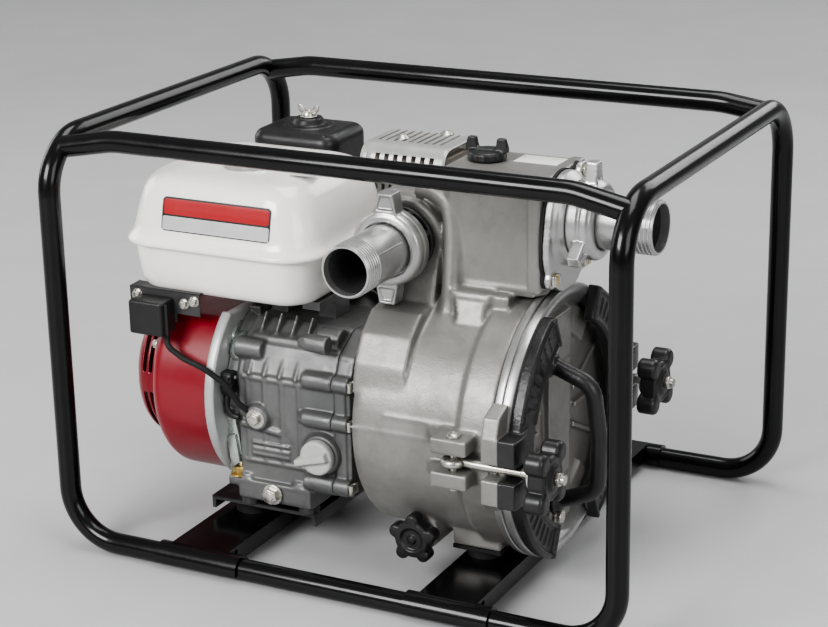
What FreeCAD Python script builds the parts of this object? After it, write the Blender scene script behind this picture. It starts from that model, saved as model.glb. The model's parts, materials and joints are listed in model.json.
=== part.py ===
import FreeCAD, Part
import os, math
from FreeCAD import Vector as V

# Gas engine trash pump in a tubular carrying frame.
# Origin: middle of the frame's footprint, on the ground. +X towards the pump
# cover, -X towards the recoil starter, -Y the side of the discharge hose,
# +Z up. Millimetres.

# ---------------------------------------------------------------- dimensions
FRAME_L, FRAME_W, FRAME_H = 630.0, 475.0, 442.0
TUBE_R, TUBE_WALL = 11.1, 2.0           # 7/8 in tube
BEND_R = 55.0                           # centreline radius of every frame bend
SPLIT_Z = 84.0                          # butt weld between hoops and bottom rails
RAIL_Y, RAIL_END_DROP = 197.0, 9.9
YC, ZC = -80.0, 166.0                   # crank and pump axis (along X)
BASE_Z = 60.0                           # underside of the engine base
CYL_DEG = 25.0                          # cylinder axis above horizontal, towards +Y
CYL_X = -86.0
BORE_R, PISTON_R, STROKE = 34.06, 34.0, 45.0
DRUM_R, DRUM_X0, DRUM_X1 = 125.0, 12.0, 150.0
COVER_R = 137.0
WALL = 7.0
DIS_X, DIS_Z = 28.0, 340.5              # discharge axis (along Y)
SUC_Y, SUC_Z = -80.0, 374.0             # suction axis (along X)
NIPPLE_R = 26.7                         # hose nipple for 2 in (50.8 mm) hose
SWING_X, SWING_DY, SWING_Z = 136.0, 142.0, 166.0
KNOB_R = 38.0
# the engine and pump are drawn about the crank axis above and then set into
# the frame by this offset
MACHINE = (-7.0, 16.0, -7.0)

A = FRAME_L / 2 - TUBE_R
B = FRAME_W / 2 - TUBE_R
Z0 = TUBE_R
ZT = FRAME_H - TUBE_R

os.makedirs("parts", exist_ok=True)
DONE = {}


def save(name, shape, machine=True, largest=False):
    if isinstance(shape, (list, tuple)):
        solids = []
        for s in shape:
            solids += s.Solids
    else:
        solids = shape.Solids
    solids = [s for s in solids if s.Volume > 1.0]
    if largest:
        solids = sorted(solids, key=lambda q: -q.Volume)[:1]
    if machine:
        solids = [s.translated(V(*MACHINE)) for s in solids]
    out = solids[0] if len(solids) == 1 else Part.makeCompound(solids)
    bad = [s for s in solids if not s.isValid()]
    out.exportStep("parts/%s.step" % name)
    DONE[name] = out
    b = out.BoundBox
    print("%-24s solids %2d vol %9.0f  X %7.1f %7.1f  Y %7.1f %7.1f  Z %7.1f %7.1f %s" % (
        name, len(solids), out.Volume, b.XMin, b.XMax, b.YMin, b.YMax, b.ZMin, b.ZMax,
        "INVALID" if bad else ""))
    return out


def box(x0, x1, y0, y1, z0, z1):
    return Part.makeBox(x1 - x0, y1 - y0, z1 - z0, V(x0, y0, z0))


def cyl(p, d, r, h):
    return Part.makeCylinder(r, h, V(*p), V(*d))


def cx(x0, x1, y, z, r):
    return Part.makeCylinder(r, x1 - x0, V(x0, y, z), V(1, 0, 0))


def cy(y0, y1, x, z, r):
    return Part.makeCylinder(r, y1 - y0, V(x, y0, z), V(0, 1, 0))


def cz(z0, z1, x, y, r):
    return Part.makeCylinder(r, z1 - z0, V(x, y, z0), V(0, 0, 1))


def coney(y0, y1, x, z, r0, r1):
    return Part.makeCone(r0, r1, y1 - y0, V(x, y0, z), V(0, 1, 0))


def conex(x0, x1, y, z, r0, r1):
    return Part.makeCone(r0, r1, x1 - x0, V(x0, y, z), V(1, 0, 0))


def conez(z0, z1, x, y, r0, r1):
    return Part.makeCone(r0, r1, z1 - z0, V(x, y, z0), V(0, 0, 1))


def fuse(*shapes):
    s = shapes[0].multiFuse(list(shapes[1:])) if len(shapes) > 1 else shapes[0]
    return s.removeSplitter()


def cut(s, *tools):
    for t in tools:
        s = s.cut(t)
    return s


def hexcyl(p, d, r, h):
    """Hexagonal prism, r across corners / 2."""
    d = V(*d).normalize()
    a = V(0, 0, 1) if abs(d.z) < 0.9 else V(1, 0, 0)
    u = d.cross(a).normalize()
    w = d.cross(u)
    pts = [V(*p) + u * (r * math.cos(math.radians(60 * i))) + w * (r * math.sin(math.radians(60 * i)))
           for i in range(6)]
    return Part.Face(Part.makePolygon(pts + pts[:1])).extrude(d * h)


def prism_x(pts, x0, x1):
    """Polygon of (y, z) points extruded along X."""
    q = [V(x0, y, z) for y, z in pts]
    return Part.Face(Part.makePolygon(q + q[:1])).extrude(V(x1 - x0, 0, 0))


def prism_z(pts, z0, z1):
    q = [V(x, y, z0) for x, y in pts]
    return Part.Face(Part.makePolygon(q + q[:1])).extrude(V(0, 0, z1 - z0))


def hull_x(c1, r1, c2, r2, x0, x1):
    """Outline round two circles in the YZ plane, extruded along X."""
    (y1, z1), (y2, z2) = c1, c2
    L = math.hypot(y2 - y1, z2 - z1)
    base = math.atan2(z2 - z1, y2 - y1)
    off = math.acos((r1 - r2) / L)

    def pt(c, r, a):
        return V(x0, c[0] + r * math.cos(a), c[1] + r * math.sin(a))
    a1, a2 = base + off, base - off
    p1, p2 = pt(c1, r1, a1), pt(c1, r1, a2)
    q1, q2 = pt(c2, r2, a1), pt(c2, r2, a2)
    arc1 = Part.Arc(p1, pt(c1, r1, base + math.pi), p2).toShape()
    arc2 = Part.Arc(q2, pt(c2, r2, base), q1).toShape()
    w = Part.Wire([arc1, Part.LineSegment(p2, q2).toShape(), arc2, Part.LineSegment(q1, p1).toShape()])
    return Part.Face(w).extrude(V(x1 - x0, 0, 0))


def path_wire(pts, radii):
    """Straight runs joined by tangent arcs."""
    P = [V(*p) for p in pts]
    edges, start = [], P[0]
    for i in range(1, len(P) - 1):
        r = radii if not isinstance(radii, (list, tuple)) else radii[i - 1]
        d1 = (P[i] - P[i - 1]).normalize()
        d2 = (P[i + 1] - P[i]).normalize()
        turn = math.acos(max(-1, min(1, d1.dot(d2))))
        t = r * math.tan(turn / 2)
        a, b = P[i] - d1 * t, P[i] + d2 * t
        bis = (d2 - d1).normalize()
        c = P[i] + bis * (r / math.cos(turn / 2))
        mid = c - bis * r
        if (a - start).Length > 1e-6:
            edges.append(Part.LineSegment(start, a).toShape())
        edges.append(Part.Arc(a, mid, b).toShape())
        start = b
    edges.append(Part.LineSegment(start, P[-1]).toShape())
    return Part.Wire(edges)


def tube(pts, radii, r, wall=0.0):
    w = path_wire(pts, radii)
    d = (V(*pts[1]) - V(*pts[0])).normalize()

    def sweep(rad):
        prof = Part.Wire([Part.Circle(V(*pts[0]), d, rad).toShape()])
        return w.makePipeShell([prof], True, False)
    s = sweep(r)
    if wall:
        s = s.cut(sweep(r - wall))
    return s


def rrect(x0, x1, y0, y1, z, r):
    """Rounded rectangle wire at height z."""
    k = r * (1 - math.sqrt(0.5))
    p = [V(x0 + r, y0, z), V(x1 - r, y0, z), V(x1, y0 + r, z), V(x1, y1 - r, z),
         V(x1 - r, y1, z), V(x0 + r, y1, z), V(x0, y1 - r, z), V(x0, y0 + r, z)]
    m = [V(x1 - k, y0 + k, z), V(x1 - k, y1 - k, z), V(x0 + k, y1 - k, z), V(x0 + k, y0 + k, z)]
    e = []
    for i in range(4):
        e.append(Part.LineSegment(p[2 * i], p[2 * i + 1]).toShape())
        e.append(Part.Arc(p[2 * i + 1], m[i], p[(2 * i + 2) % 8]).toShape())
    return Part.Wire(e)


def fillet(s, r, test=None):
    es = [e for e in s.Edges if test is None or test(e)]
    try:
        f = s.makeFillet(r, es)
        if f.isValid() and f.Volume > 0:
            return f
    except Exception:
        pass
    return s


def along_z(e):
    b = e.BoundBox
    return b.XLength < 1e-6 and b.YLength < 1e-6


def along_x(e):
    b = e.BoundBox
    return b.ZLength < 1e-6 and b.YLength < 1e-6


CD = V(0, math.cos(math.radians(CYL_DEG)), math.sin(math.radians(CYL_DEG)))   # cylinder axis
CN = V(0, -CD.z, CD.y)                                                        # normal to it


def cylpt(s, n=0.0, x=CYL_X):
    """Point at distance s from the crank along the cylinder, n beside it."""
    return V(x, YC, ZC) + CD * s + CN * n


def cyl_block(x0, x1, s0, s1, n0, n1):
    q = [cylpt(s0, n0, x0), cylpt(s1, n0, x0), cylpt(s1, n1, x0), cylpt(s0, n1, x0)]
    return Part.Face(Part.makePolygon(q + q[:1])).extrude(V(x1 - x0, 0, 0))


# ------------------------------------------------------------------- frame
def hoop(x):
    return tube([(x, -B, SPLIT_Z), (x, -B, ZT), (x, B, ZT), (x, B, SPLIT_Z)], BEND_R, TUBE_R, TUBE_WALL)


def bottom_rail(y):
    return tube([(-A, y, SPLIT_Z), (-A, y, Z0), (A, y, Z0), (A, y, SPLIT_Z)], BEND_R, TUBE_R, TUBE_WALL)


hoop_l, hoop_r = hoop(-A), hoop(A)
rail_n, rail_f = bottom_rail(-B), bottom_rail(B)


def top_rail(sgn):
    th = math.radians(55)
    ye = sgn * (B - BEND_R * (1 - math.cos(th)))
    ze = ZT - BEND_R * (1 - math.sin(th))
    s = tube([(-A, ye, ze), (-A + 58, sgn * RAIL_Y, ZT), (A - 58, sgn * RAIL_Y, ZT), (A, ye, ze)],
             90.0, TUBE_R, TUBE_WALL)
    for x in (-A, A):
        s = s.cut(tube([(x, -B, SPLIT_Z), (x, -B, ZT), (x, B, ZT), (x, B, SPLIT_Z)], BEND_R, TUBE_R))
    so = sorted(s.Solids, key=lambda q: -q.Volume)
    return so[0]


save("end_hoops", [hoop_l, hoop_r], False)
save("bottom_rails", [rail_n, rail_f], False)
save("top_rails", [top_rail(-1), top_rail(1)], False)

CH_T, CH_Z = 3.0, 26.0        # sheet thickness, top of the cross channels


def channel(x0, x1):
    """Pressed cross member whose ends wrap over the two bottom rails."""
    top = box(x0, x1, -B, B, CH_Z - CH_T, CH_Z)
    web = [box(x0, x0 + CH_T, -B + 18, B - 18, 8, CH_Z), box(x1 - CH_T, x1, -B + 18, B - 18, 8, CH_Z)]
    s = fuse(top, *web)
    for sg in (-1, 1):
        y = sg * B
        sad = cx(x0 - 13, x1 + 16, y, Z0, TUBE_R + CH_T).cut(cx(x0 - 20, x1 + 20, y, Z0, TUBE_R))
        sad = sad.cut(box(x0 - 20, x1 + 20, y - 20, y + 20, -10, 7.0))
        s = s.cut(cx(x0 - 20, x1 + 20, y, Z0, TUBE_R + 0.5))
        s = fuse(s.cut(box(x0 - 20, x1 + 20, y - 30 if sg < 0 else y, y if sg < 0 else y + 30, 0, 60)), sad,
                 box(x0, x1, min(y, y - sg * 26), max(y, y - sg * 26), Z0 + TUBE_R + 0.6, CH_Z).cut(
                     cx(x0 - 1, x1 + 1, y, Z0, TUBE_R + 0.2)))
    return s


ENG_CX0, ENG_CX1 = -181.0, -115.0
PMP_CX0, PMP_CX1 = 100.0, 161.0
save("cross_channels", [channel(ENG_CX0, ENG_CX1), channel(PMP_CX0, PMP_CX1)], False)

# engine bed: pressed steel tray that carries the engine base, on two rubber
# mounts; the engine base is bolted through it
BED_T = 4.0
MX, MY, MZ = MACHINE
PAD_Z = BASE_Z + MZ
BED_Z = PAD_Z - 6.5
BY0, BY1 = -168 + MY + 5, 32 + MY - 4
MOUNT_XY = [(-150.0, BY0 + 32), (-150.0, BY1 - 30)]
PMOUNT_XY = [(119.0, -131.0 + MY), (119.0, -29.0 + MY)]
BASE_HOLES = [(-130.0, -156.0), (-62.0, -156.0), (-130.0, 20.0), (-62.0, 20.0)]
bed = fuse(box(-182, -58, BY0, BY1, BED_Z - BED_T, BED_Z),
           box(-182, -178, BY0, BY1, 33, BED_Z), box(-62, -58, BY0, BY1, 33, BED_Z))
bed = fuse(bed, *[cz(BED_Z - 0.5, PAD_Z, x + MX, y + MY, 11) for x, y in BASE_HOLES])
bed = cut(bed, *[cz(BED_Z - 9, BED_Z + 2, x, y, 4.3) for x, y in MOUNT_XY])
bed = cut(bed, *[cz(BED_Z - 9, PAD_Z + 2, x + MX, y + MY, 4.3) for x, y in BASE_HOLES])
save("engine_bed", bed, False)

FOOT_Z = 46.0
rub = []
for (x, y) in MOUNT_XY:
    rub.append(cut(cz(CH_Z, BED_Z - BED_T, x, y, 19), cz(0, 90, x, y, 4.0)))
for (x, y) in PMOUNT_XY:
    rub.append(cut(fuse(cz(CH_Z, FOOT_Z + MZ, x, y, 19), box(x - 26, x + 26, y - 22, y + 22, FOOT_Z + MZ - 4, FOOT_Z + MZ)), cz(0, 90, x, y, 4.0),
                   cx(50, 200, YC + MY, ZC + MZ, 131.8)))
save("rubber_mounts", rub, False)

# ---------------------------------------------------------------- crankcase
# route of the sleeved switch lead
LEAD = [(-206, -184, 240), (-204, -188, 222), (-182, -194, 214), (-158, -194, 207), (-138, -186, 190), (-128, -178, 168), (-118, -166, 152)]
LEAD_R = [12.0, 24.0, 30.0, 26.0, 26.0]
CC_X0, CC_X1 = -136.0, -24.0
OILX = -38.0
cc_prof = [(-165, 79), (-165, 196), (-152, 226), (-120, 244), (-50, 244), (-16, 226), (-6, 190), (-6, 79)]
cc_in = [(-158, 86), (-158, 193), (-147, 220), (-118, 237), (-52, 237), (-22, 221), (-13, 188), (-13, 86)]
base = box(-140, -51, -168, 32, BASE_Z, 81)
base = fillet(base, 7, along_z)
body = prism_x(cc_prof, CC_X0, CC_X1)
barrel = Part.makeCylinder(46, 96, cylpt(34), CD)
fins = [Part.makeCylinder(57, 3, cylpt(s), CD).common(cyl_block(-142, -30, s - 1, s + 4, -56, 56))
        for s in (92, 101, 110, 119)]
deck = cyl_block(-134, -38, 127, 131, -50, 50)
boss_fan = cx(-150, CC_X0 + 1, YC, ZC, 46)
boss_oil = cy(-173, -150, OILX, 124, 19)
boss_switch = cy(-172, -160, -112, 152, 9)
crankcase = fuse(base, body, barrel, deck, boss_fan, boss_oil, boss_switch, *fins)
cav = prism_x(cc_in, CC_X0 + 8, CC_X1 + 5)
crankcase = cut(crankcase, cav, Part.makeCylinder(BORE_R, 120, cylpt(30), CD),
                cx(-160, -100, YC, ZC, 26.0), cy(-180, -140, OILX, 124, 13.0))
crankcase = cut(crankcase, *[cz(50, 90, x, y, 4.3) for x, y in BASE_HOLES])
crankcase = cut(crankcase, cy(-170, -150, -96, 71, 5.0))      # oil drain
CASE_BOLTS = [(-155, 200), (-158, 160), (-158, 92), (-120, 236), (-60, 236), (-14, 205), (-12, 150), (-14, 95), (-100, 88)]
# bosses along the joint face with the side cover
for (y, z) in CASE_BOLTS[:3]:
    crankcase = fuse(crankcase, cx(-58, CC_X1, y - 9, z, 8.5))
crankcase = cut(crankcase, *[cx(-56, CC_X1 + 1, y - (9 if i < 3 else 0), z, 3.05) for i, (y, z) in enumerate(CASE_BOLTS)])
crankcase = cut(crankcase, tube(LEAD, LEAD_R, 3.3))
save("crankcase", crankcase)

side = prism_x(cc_prof, CC_X1, -6)
side = fillet(side, 6, along_x)
for i, (y, z) in enumerate(CASE_BOLTS[:3]):
    side = fuse(side, cx(CC_X1, -6, y - 9, z, 8.5))
side = fuse(side, cx(-10, -6, YC, ZC, 60))
side = cut(side, prism_x(cc_in, CC_X1 - 1, CC_X1 + 9), cx(-30, 0, YC, ZC, 26.0))
side = fuse(side, cx(-12, -6, YC, ZC, 30).cut(cx(-13, -5, YC, ZC, 13.0)))
side = cut(side, *[cx(-60, 5, y - (9 if i < 3 else 0), z, 3.05) for i, (y, z) in enumerate(CASE_BOLTS)])
side = cut(side, cy(-180, -140, OILX, 124, 19.0))
save("crankcase_side_cover", side)

# M6 hexagon bolts of the side cover and of the suction valve body, one group
M6_L = 26.0


def m6(x, y, z):
    """M6 bolt along X, its head seated at x and pointing to +X."""
    return fuse(cx(x - M6_L, x, y, z, 3.0), hexcyl((x, y, z), (1, 0, 0), 5.8, 4.5))


m6_bolts = []
for i, (y, z) in enumerate(CASE_BOLTS):
    yy = y - (9 if i < 3 else 0)
    if math.hypot(yy - YC, z - ZC) < 62:
        continue
    m6_bolts.append(m6(-6, yy, z))

main_b = []
for x0, x1 in ((-134.0, -120.0), (-26.0, -13.0)):
    main_b.append(cx(x0, x1, YC, ZC, 25.98).cut(cx(x0 - 1, x1 + 1, YC, ZC, 12.55)))
save("main_bearings", main_b)

# ---------------------------------------------- crankshaft, flywheel, impeller
CR = STROKE / 2
pin_c = cylpt(CR)
web1 = fuse(cx(-110, -98, YC, ZC, 24), Part.makeCylinder(19, 12, V(-110, pin_c.y, pin_c.z), V(1, 0, 0)),
            cx(-110, -98, YC, ZC, 40).common(cyl_block(-111, -97, -41, 2, -41, 41)))
web2 = web1.translated(V(36, 0, 0))
crank = fuse(cx(-117, -40, YC, ZC, 14).cut(cx(-98, -74, YC, ZC, 30)), web1, web2,
             Part.makeCylinder(14.5, 24, V(-98, pin_c.y, pin_c.z), V(1, 0, 0)),
             cx(-168, -110, YC, ZC, 12.5), conex(-200, -168, YC, ZC, 9.0, 12.0), cx(-214, -200, YC, ZC, 7.0),
             cx(-62, 28, YC, ZC, 12.5), cx(28, 84, YC, ZC, 10.0))
# crank gear, module 2, 16 teeth, meshes with the 32-tooth cam gear
GM, N1, N2 = 2.0, 16, 32


def gear(n, y, z, x0, x1, phase):
    rp = GM * n / 2.0
    pts = []
    pitch = 2 * math.pi / n
    ro, ri = rp + 0.80 * GM, rp - 1.15 * GM
    for i in range(n):
        c = phase + i * pitch
        for r, f in ((ri, -0.25), (ro, -0.085), (ro, 0.085), (ri, 0.25)):
            a = c + f * pitch
            pts.append((y + r * math.cos(a), z + r * math.sin(a)))
    return prism_x(pts, x0, x1)


CAM_ANG = math.radians(-115)
CAM_Y = YC + (N1 + N2) * GM / 2 * math.cos(CAM_ANG)
CAM_Z = ZC + (N1 + N2) * GM / 2 * math.sin(CAM_ANG)
crank = fuse(crank, gear(N1, YC, ZC, -52, -42, CAM_ANG))
# recoil cup and clutch face are on the flywheel
save("crankshaft", crank)

fly = fuse(cx(-186, -170, YC, ZC, 76), cx(-200, -186, YC, ZC, 24))
fly = fly.cut(cx(-178, -169, YC, ZC, 63).cut(cx(-180, -168, YC, ZC, 22)))
for i in range(16):
    b = box(-206, -186, YC + 42, YC + 75, ZC - 1.5, ZC + 1.5)
    b.rotate(V(0, YC, ZC), V(1, 0, 0), i * 22.5)
    fly = fly.fuse(b)
fly = fly.removeSplitter()
fly = cut(fly, conex(-200, -168, YC, ZC, 9.0, 12.0), cx(-230, -199, YC, ZC, 9.0))
# the flywheel, with the starter cup and the nut clamped on its hub
cup = cx(-222, -200, YC, ZC, 33).cut(cx(-222.5, -203, YC, ZC, 30))
cup = cup.cut(cx(-230, -190, YC, ZC, 7.0))
nut = hexcyl((-213, YC, ZC), (1, 0, 0), 13, 10).cut(cx(-230, -190, YC, ZC, 7.0))
save("flywheel", [fly, cup, nut])

imp = fuse(cx(58, 63, YC, ZC, 66), conex(63, 78, YC, ZC, 26, 17))
for i in range(3):
    pts = []
    for k in range(13):
        t = k / 12.0
        r = 15 + 50 * t
        a = math.radians(120 * i + 95 * t)
        pts.append((r, a))
    outer = [(YC + r * math.cos(a), ZC + r * math.sin(a)) for r, a in pts]
    inner = [(YC + r * math.cos(a + 5.0 / r), ZC + r * math.sin(a + 5.0 / r)) for r, a in pts]
    imp = imp.fuse(prism_x(outer + inner[::-1], 62, 92))
imp = cut(imp.removeSplitter(), cx(50, 100, YC, ZC, 10.0))
imp = fuse(imp, cx(84, 90, YC, ZC, 16))
save("impeller", imp)

# ------------------------------------------------------------- cam and piston
cam = fuse(cx(-124, -112, CAM_Y, CAM_Z, 7.0), cx(-112, -60, CAM_Y, CAM_Z, 6.0), cx(-60, -16, CAM_Y, CAM_Z, 7.0), gear(N2, CAM_Y, CAM_Z, -52, -42, CAM_ANG + math.pi + math.pi / N2))
for x in (-119, -61):
    cam = fuse(cam, cx(x, x + 8, CAM_Y, CAM_Z, 12), cx(x, x + 8, CAM_Y + 6, CAM_Z + 2, 8))
save("camshaft", cam)

pis = Part.makeCylinder(PISTON_R, 40, cylpt(88.5), CD)
pis = pis.cut(Part.makeCylinder(29, 33, cylpt(88.0), CD))
for s in (124.5, 120.5, 116.5):
    pis = pis.cut(Part.makeCylinder(PISTON_R + 1, 1.6, cylpt(s), CD).cut(Part.makeCylinder(31.5, 1.6, cylpt(s), CD)))
wp = Part.makeCylinder(8, 58.4, V(CYL_X - 29.2, cylpt(106.5).y, cylpt(106.5).z), V(1, 0, 0))
save("piston", fuse(pis, wp))

# ------------------------------------------------- head, rocker cover, ignition
head = cyl_block(-136, -36, 131, 172, -50, 48)
for n in (-44, -36, -28, -20, 20, 28, 36):
    head = head.cut(cyl_block(-137, -122, 138, 168, n, n + 4)).cut(cyl_block(-50, -35, 138, 168, n, n + 4))
head = fuse(head, cyl_block(-146, -134, 140, 166, 4, 34))
head = cut(head, Part.makeCylinder(33, 6, cylpt(130.9), CD))
head = cut(head, Part.makeCylinder(5.5, 40, cylpt(150, -30, -124), CD))
save("cylinder_head", head)
rock = cyl_block(-112, -50, 172, 196, -34, 40)
rock = fillet(rock, 9, lambda e: (e.CenterOfMass - cylpt(196, 0, e.CenterOfMass.x)).dot(CD) > -1)
rock = rock.cut(cyl_block(-108, -54, 171, 191, -30, 36))
save("rocker_cover", rock)
plug = fuse(Part.makeCylinder(5.5, 22, cylpt(150, -30, -124), CD), hexcyl(tuple(cylpt(172, -30, -127.5)), tuple(CD), 6, 9))
plug = fuse(Part.makeCylinder(5.5, 22, cylpt(150, -30, -124), CD), Part.makeCylinder(6, 12, cylpt(172, -30, -124), CD))
boot = Part.makeCylinder(9.5, 26, cylpt(184, -30, -124), CD)
save("spark_plug", fuse(plug, boot))
coil = fuse(box(-196, -172, YC + 70, YC + 97, ZC - 24, ZC + 24)).cut(cx(-210, -160, YC, ZC, 76.5))
coil = fuse(coil, *[cx(-173, -153, YC + 88, ZC + q, 4.5) for q in (-18, 18)])
save("ignition_coil", coil)

# ---------------------------------------------------------- fan side covers
FC_R = 106.0
S2 = (-34.0, 176.0)
FAN_TOP = 247.0


def snail(r, x0, x1, r2, top):
    """Scroll outline of the blower housing, flat on top under the tank."""
    return hull_x((YC, ZC), r, S2, r2, x0, x1).common(box(x0 - 1, x1 + 1, -260, 120, 0, top))


plate = fuse(snail(FC_R + 4.5, -161, -150.2, 74.5, FAN_TOP + 4).cut(snail(FC_R + 1.5, -162, -153, 71.5, FAN_TOP + 1.5)))
plate = cut(plate, cx(-170, -140, YC, ZC, 30))
save("fan_backplate", plate)
fan = snail(FC_R, -232, -153.3, 70, FAN_TOP)
fan = fillet(fan, 13, lambda e: e.BoundBox.XMax < -231)
inn = snail(FC_R - 2.5, -229.5, -150, 67.5, FAN_TOP - 2.5)
inn = fillet(inn, 10.5, lambda e: e.BoundBox.XMax < -229)
fan = cut(fan, inn, cx(-240, -220, YC, ZC, 72))
save("fan_cover", fan, largest=True)
rec = fuse(cx(-262, -232.2, YC, ZC, 79.5), conex(-274, -262, YC, ZC, 66, 79))
rec = fillet(rec, 3)
rec = cut(rec, cx(-259.5, -225, YC, ZC, 77), conex(-271.5, -259.4, YC, ZC, 64, 76.5))
for i in range(24):
    a = i * 15
    b = box(-261, -238, YC - 90, YC - 70, ZC - 3.0, ZC + 3.0)
    b.rotate(V(0, YC, ZC), V(1, 0, 0), a)
    if a not in (180, 195, 165):
        rec = rec.cut(b)
rec = fuse(rec, cx(-272, -252, YC, ZC, 7.0))
rec = cut(rec, box(-248, -236, YC + 70, YC + 90, ZC - 5, ZC + 5))
save("recoil_cover", rec)
pul = cx(-250, -236, YC, ZC, 44).cut(cx(-247, -239, YC, ZC, 50).cut(cx(-248, -238, YC, ZC, 34)))
pul = cut(pul, cx(-252, -230, YC, ZC, 7.06))
save("recoil_pulley", pul)
# grip of the starter rope, beside the recoil cover on the +Y side
gy = YC + 81
grip = fuse(cy(gy, gy + 14, -242, ZC, 7), box(-249, -235, gy + 14, gy + 26, ZC - 30, ZC + 30))
grip = fillet(grip, 5, lambda e: e.BoundBox.YMin > gy + 13 and e.BoundBox.YMax < gy + 27)
save("recoil_grip", grip)

# ------------------------------------------------------------------ fuel tank
TX0, TX1, TY0, TY1 = -262.0, -46.0, -177.0, 18.0
TZ = [(272, 26), (274, 16), (279, 9), (290, 4), (322, 0), (330, 0), (356, 1.5), (376, 6), (389, 14), (396, 24), (399, 36)]


def tank_loft(off):
    ws = []
    for i, (z, ins) in enumerate(TZ):
        zz = z + off if i == 0 else (z - off if i == len(TZ) - 1 else z)
        k = ins + off
        r = max(10.0, 34.0 - off - ins * 0.2)
        ws.append(rrect(TX0 + k, TX1 - k, TY0 + k, TY1 - k, zz, r))
    return Part.makeLoft(ws, True, True)


tank = tank_loft(0)
fl = Part.Face(rrect(TX0 - 5.5, TX1 + 5.5, TY0 - 5.5, TY1 + 5.5, 324, 38)).extrude(V(0, 0, 3.5))
tank = tank.fuse(fl).removeSplitter()
tank = tank.cut(tank_loft(2.5))
CAPX, CAPY = -147.0, -100.0
# the filler sits in a shallow round recess, so that the cap hardly stands proud
tank = tank.cut(cz(394, 402, CAPX, CAPY, 31))
dish = cz(389.5, 399, CAPX, CAPY, 33).cut(cz(392, 400, CAPX, CAPY, 31))
tank = fuse(tank, dish)
tank = tank.cut(cz(388, 402, CAPX, CAPY, 21))
neck = cz(390, 400, CAPX, CAPY, 23).cut(cz(388, 401, CAPX, CAPY, 21))
tank = fuse(tank, neck)
save("fuel_tank", tank)
cap = fuse(cz(393.5, 404.5, CAPX, CAPY, 27.5), conez(404.5, 407.5, CAPX, CAPY, 27.5, 23))
cap = cap.cut(cz(393, 401, CAPX, CAPY, 23.4))
save("fuel_cap", cap)
# two pressed stays and the foot that carry the tank on the crankcase
stays = [fuse(box(-132, -112, -132, -44, 262, 271.5), box(-132, -112, -100, -70, 244, 264)),
         fuse(box(-76, -56, -132, -44, 262, 271.5), box(-76, -56, -100, -70, 244, 264))]
save("tank_stays", stays)

# ------------------------------------------------------ carburettor, air, exhaust
ins_y, ins_z = cylpt(153, 19).y, cylpt(153, 19).z
carb = fuse(cx(-190, -146, ins_y, ins_z, 15), cz(ins_z - 34, ins_z, -168, ins_y, 17),
            box(-182, -154, ins_y - 16, ins_y + 16, ins_z - 6, ins_z + 20),
            box(-192, -186, ins_y - 24, ins_y + 24, ins_z - 14, ins_z + 16))
carb = cut(carb, cx(-200, -140, ins_y, ins_z, 9))
save("carburettor", carb)
AX0, AX1, AY0, AY1 = -240.0, -136.0, 44.0, 130.0
ACX, ACY = -188.0, 87.0
acb = fuse(box(AX0 + 6, AX1 - 6, AY0 + 6, AY1 - 6, 334, 340), box(-216, -192.2, ins_y - 18, ins_y + 18, ins_z - 14, 336))
acb = cut(acb, box(-212, -191, ins_y - 14, ins_y + 14, ins_z - 10, 350), )
acb = fuse(acb, cz(336, 407, ACX, ACY, 3.0))
save("air_cleaner_base", acb)
elem = cz(340, 378, ACX, ACY, 33).cut(cz(339, 379, ACX, ACY, 20))
save("air_filter_element", elem)
acc = fillet(box(AX0, AX1, AY0, AY1, 341, 394), 18, along_z)
acc = fillet(acc, 12, lambda e: e.BoundBox.ZMin > 393)
acc_in = fillet(box(AX0 + 3, AX1 - 3, AY0 + 3, AY1 - 3, 340, 385), 15, along_z)
acc = acc.cut(acc_in)
acc = fuse(acc, conez(388, 403, ACX, ACY, 23, 15))
acc = cut(acc, cz(380, 412, ACX, ACY, 3.06))
save("air_cleaner_cover", acc)
wn = fuse(conez(403.3, 409, ACX, ACY, 8, 6), *[box(ACX + q * 9 - 5, ACX + q * 9 + 5, ACY - 1.2, ACY + 1.2, 405, 417) for q in (-1, 1)])
wn = cut(wn, cz(402, 422, ACX, ACY, 3.06))
save("air_cleaner_wing_nut", wn)
# choke and throttle levers on the carburettor and a governor arm
save("choke_lever", fuse(cz(ins_z + 20.3, ins_z + 23, -176, ins_y + 6, 5), box(-179, -173, ins_y + 6, ins_y + 44, ins_z + 20.3, ins_z + 23)))
save("throttle_lever", fuse(cz(ins_z + 20.3, ins_z + 23, -160, ins_y - 4, 5), box(-162.5, -157.5, ins_y - 34, ins_y - 4, ins_z + 20.3, ins_z + 23)))

muf = fillet(box(-91, -3, 42, 114, 302, 382), 16, along_x)
muf = fillet(muf, 5)
muf_in = box(-88, -6, 45, 111, 305, 379)
muf = cut(muf, fillet(muf_in, 12, along_x))
mpipe = cz(262, 303.5, -62, 54, 12)
mpipe = cut(mpipe, cyl_block(-150, -20, 100, 172, -60, 48.0), cyl_block(-150, -20, 171, 200, -60, 40.2))
muf = fuse(muf, sorted(mpipe.Solids, key=lambda q: -q.BoundBox.ZMax)[0])
save("muffler", muf)
G0 = (-100.0, 6.0, 33.0, 124.0, 296.0, 394.0)
gd = fillet(box(*G0), 20, along_x)
gd = fillet(gd, 8, lambda e: not (e.BoundBox.ZMax < 297))
gdi = fillet(box(G0[0] + 1.6, G0[1] - 1.6, G0[2] + 1.6, G0[3] - 1.6, 290, G0[5] - 1.6), 18, along_x)
gd = gd.cut(gdi).cut(box(-120, 40, 20, 140, 290, 312))
for i in range(9):                               # top louvres
    x = G0[0] + 13 + i * 9.0
    gd = gd.cut(box(x, x + 3.6, 58, 108, 384, 398))
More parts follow.
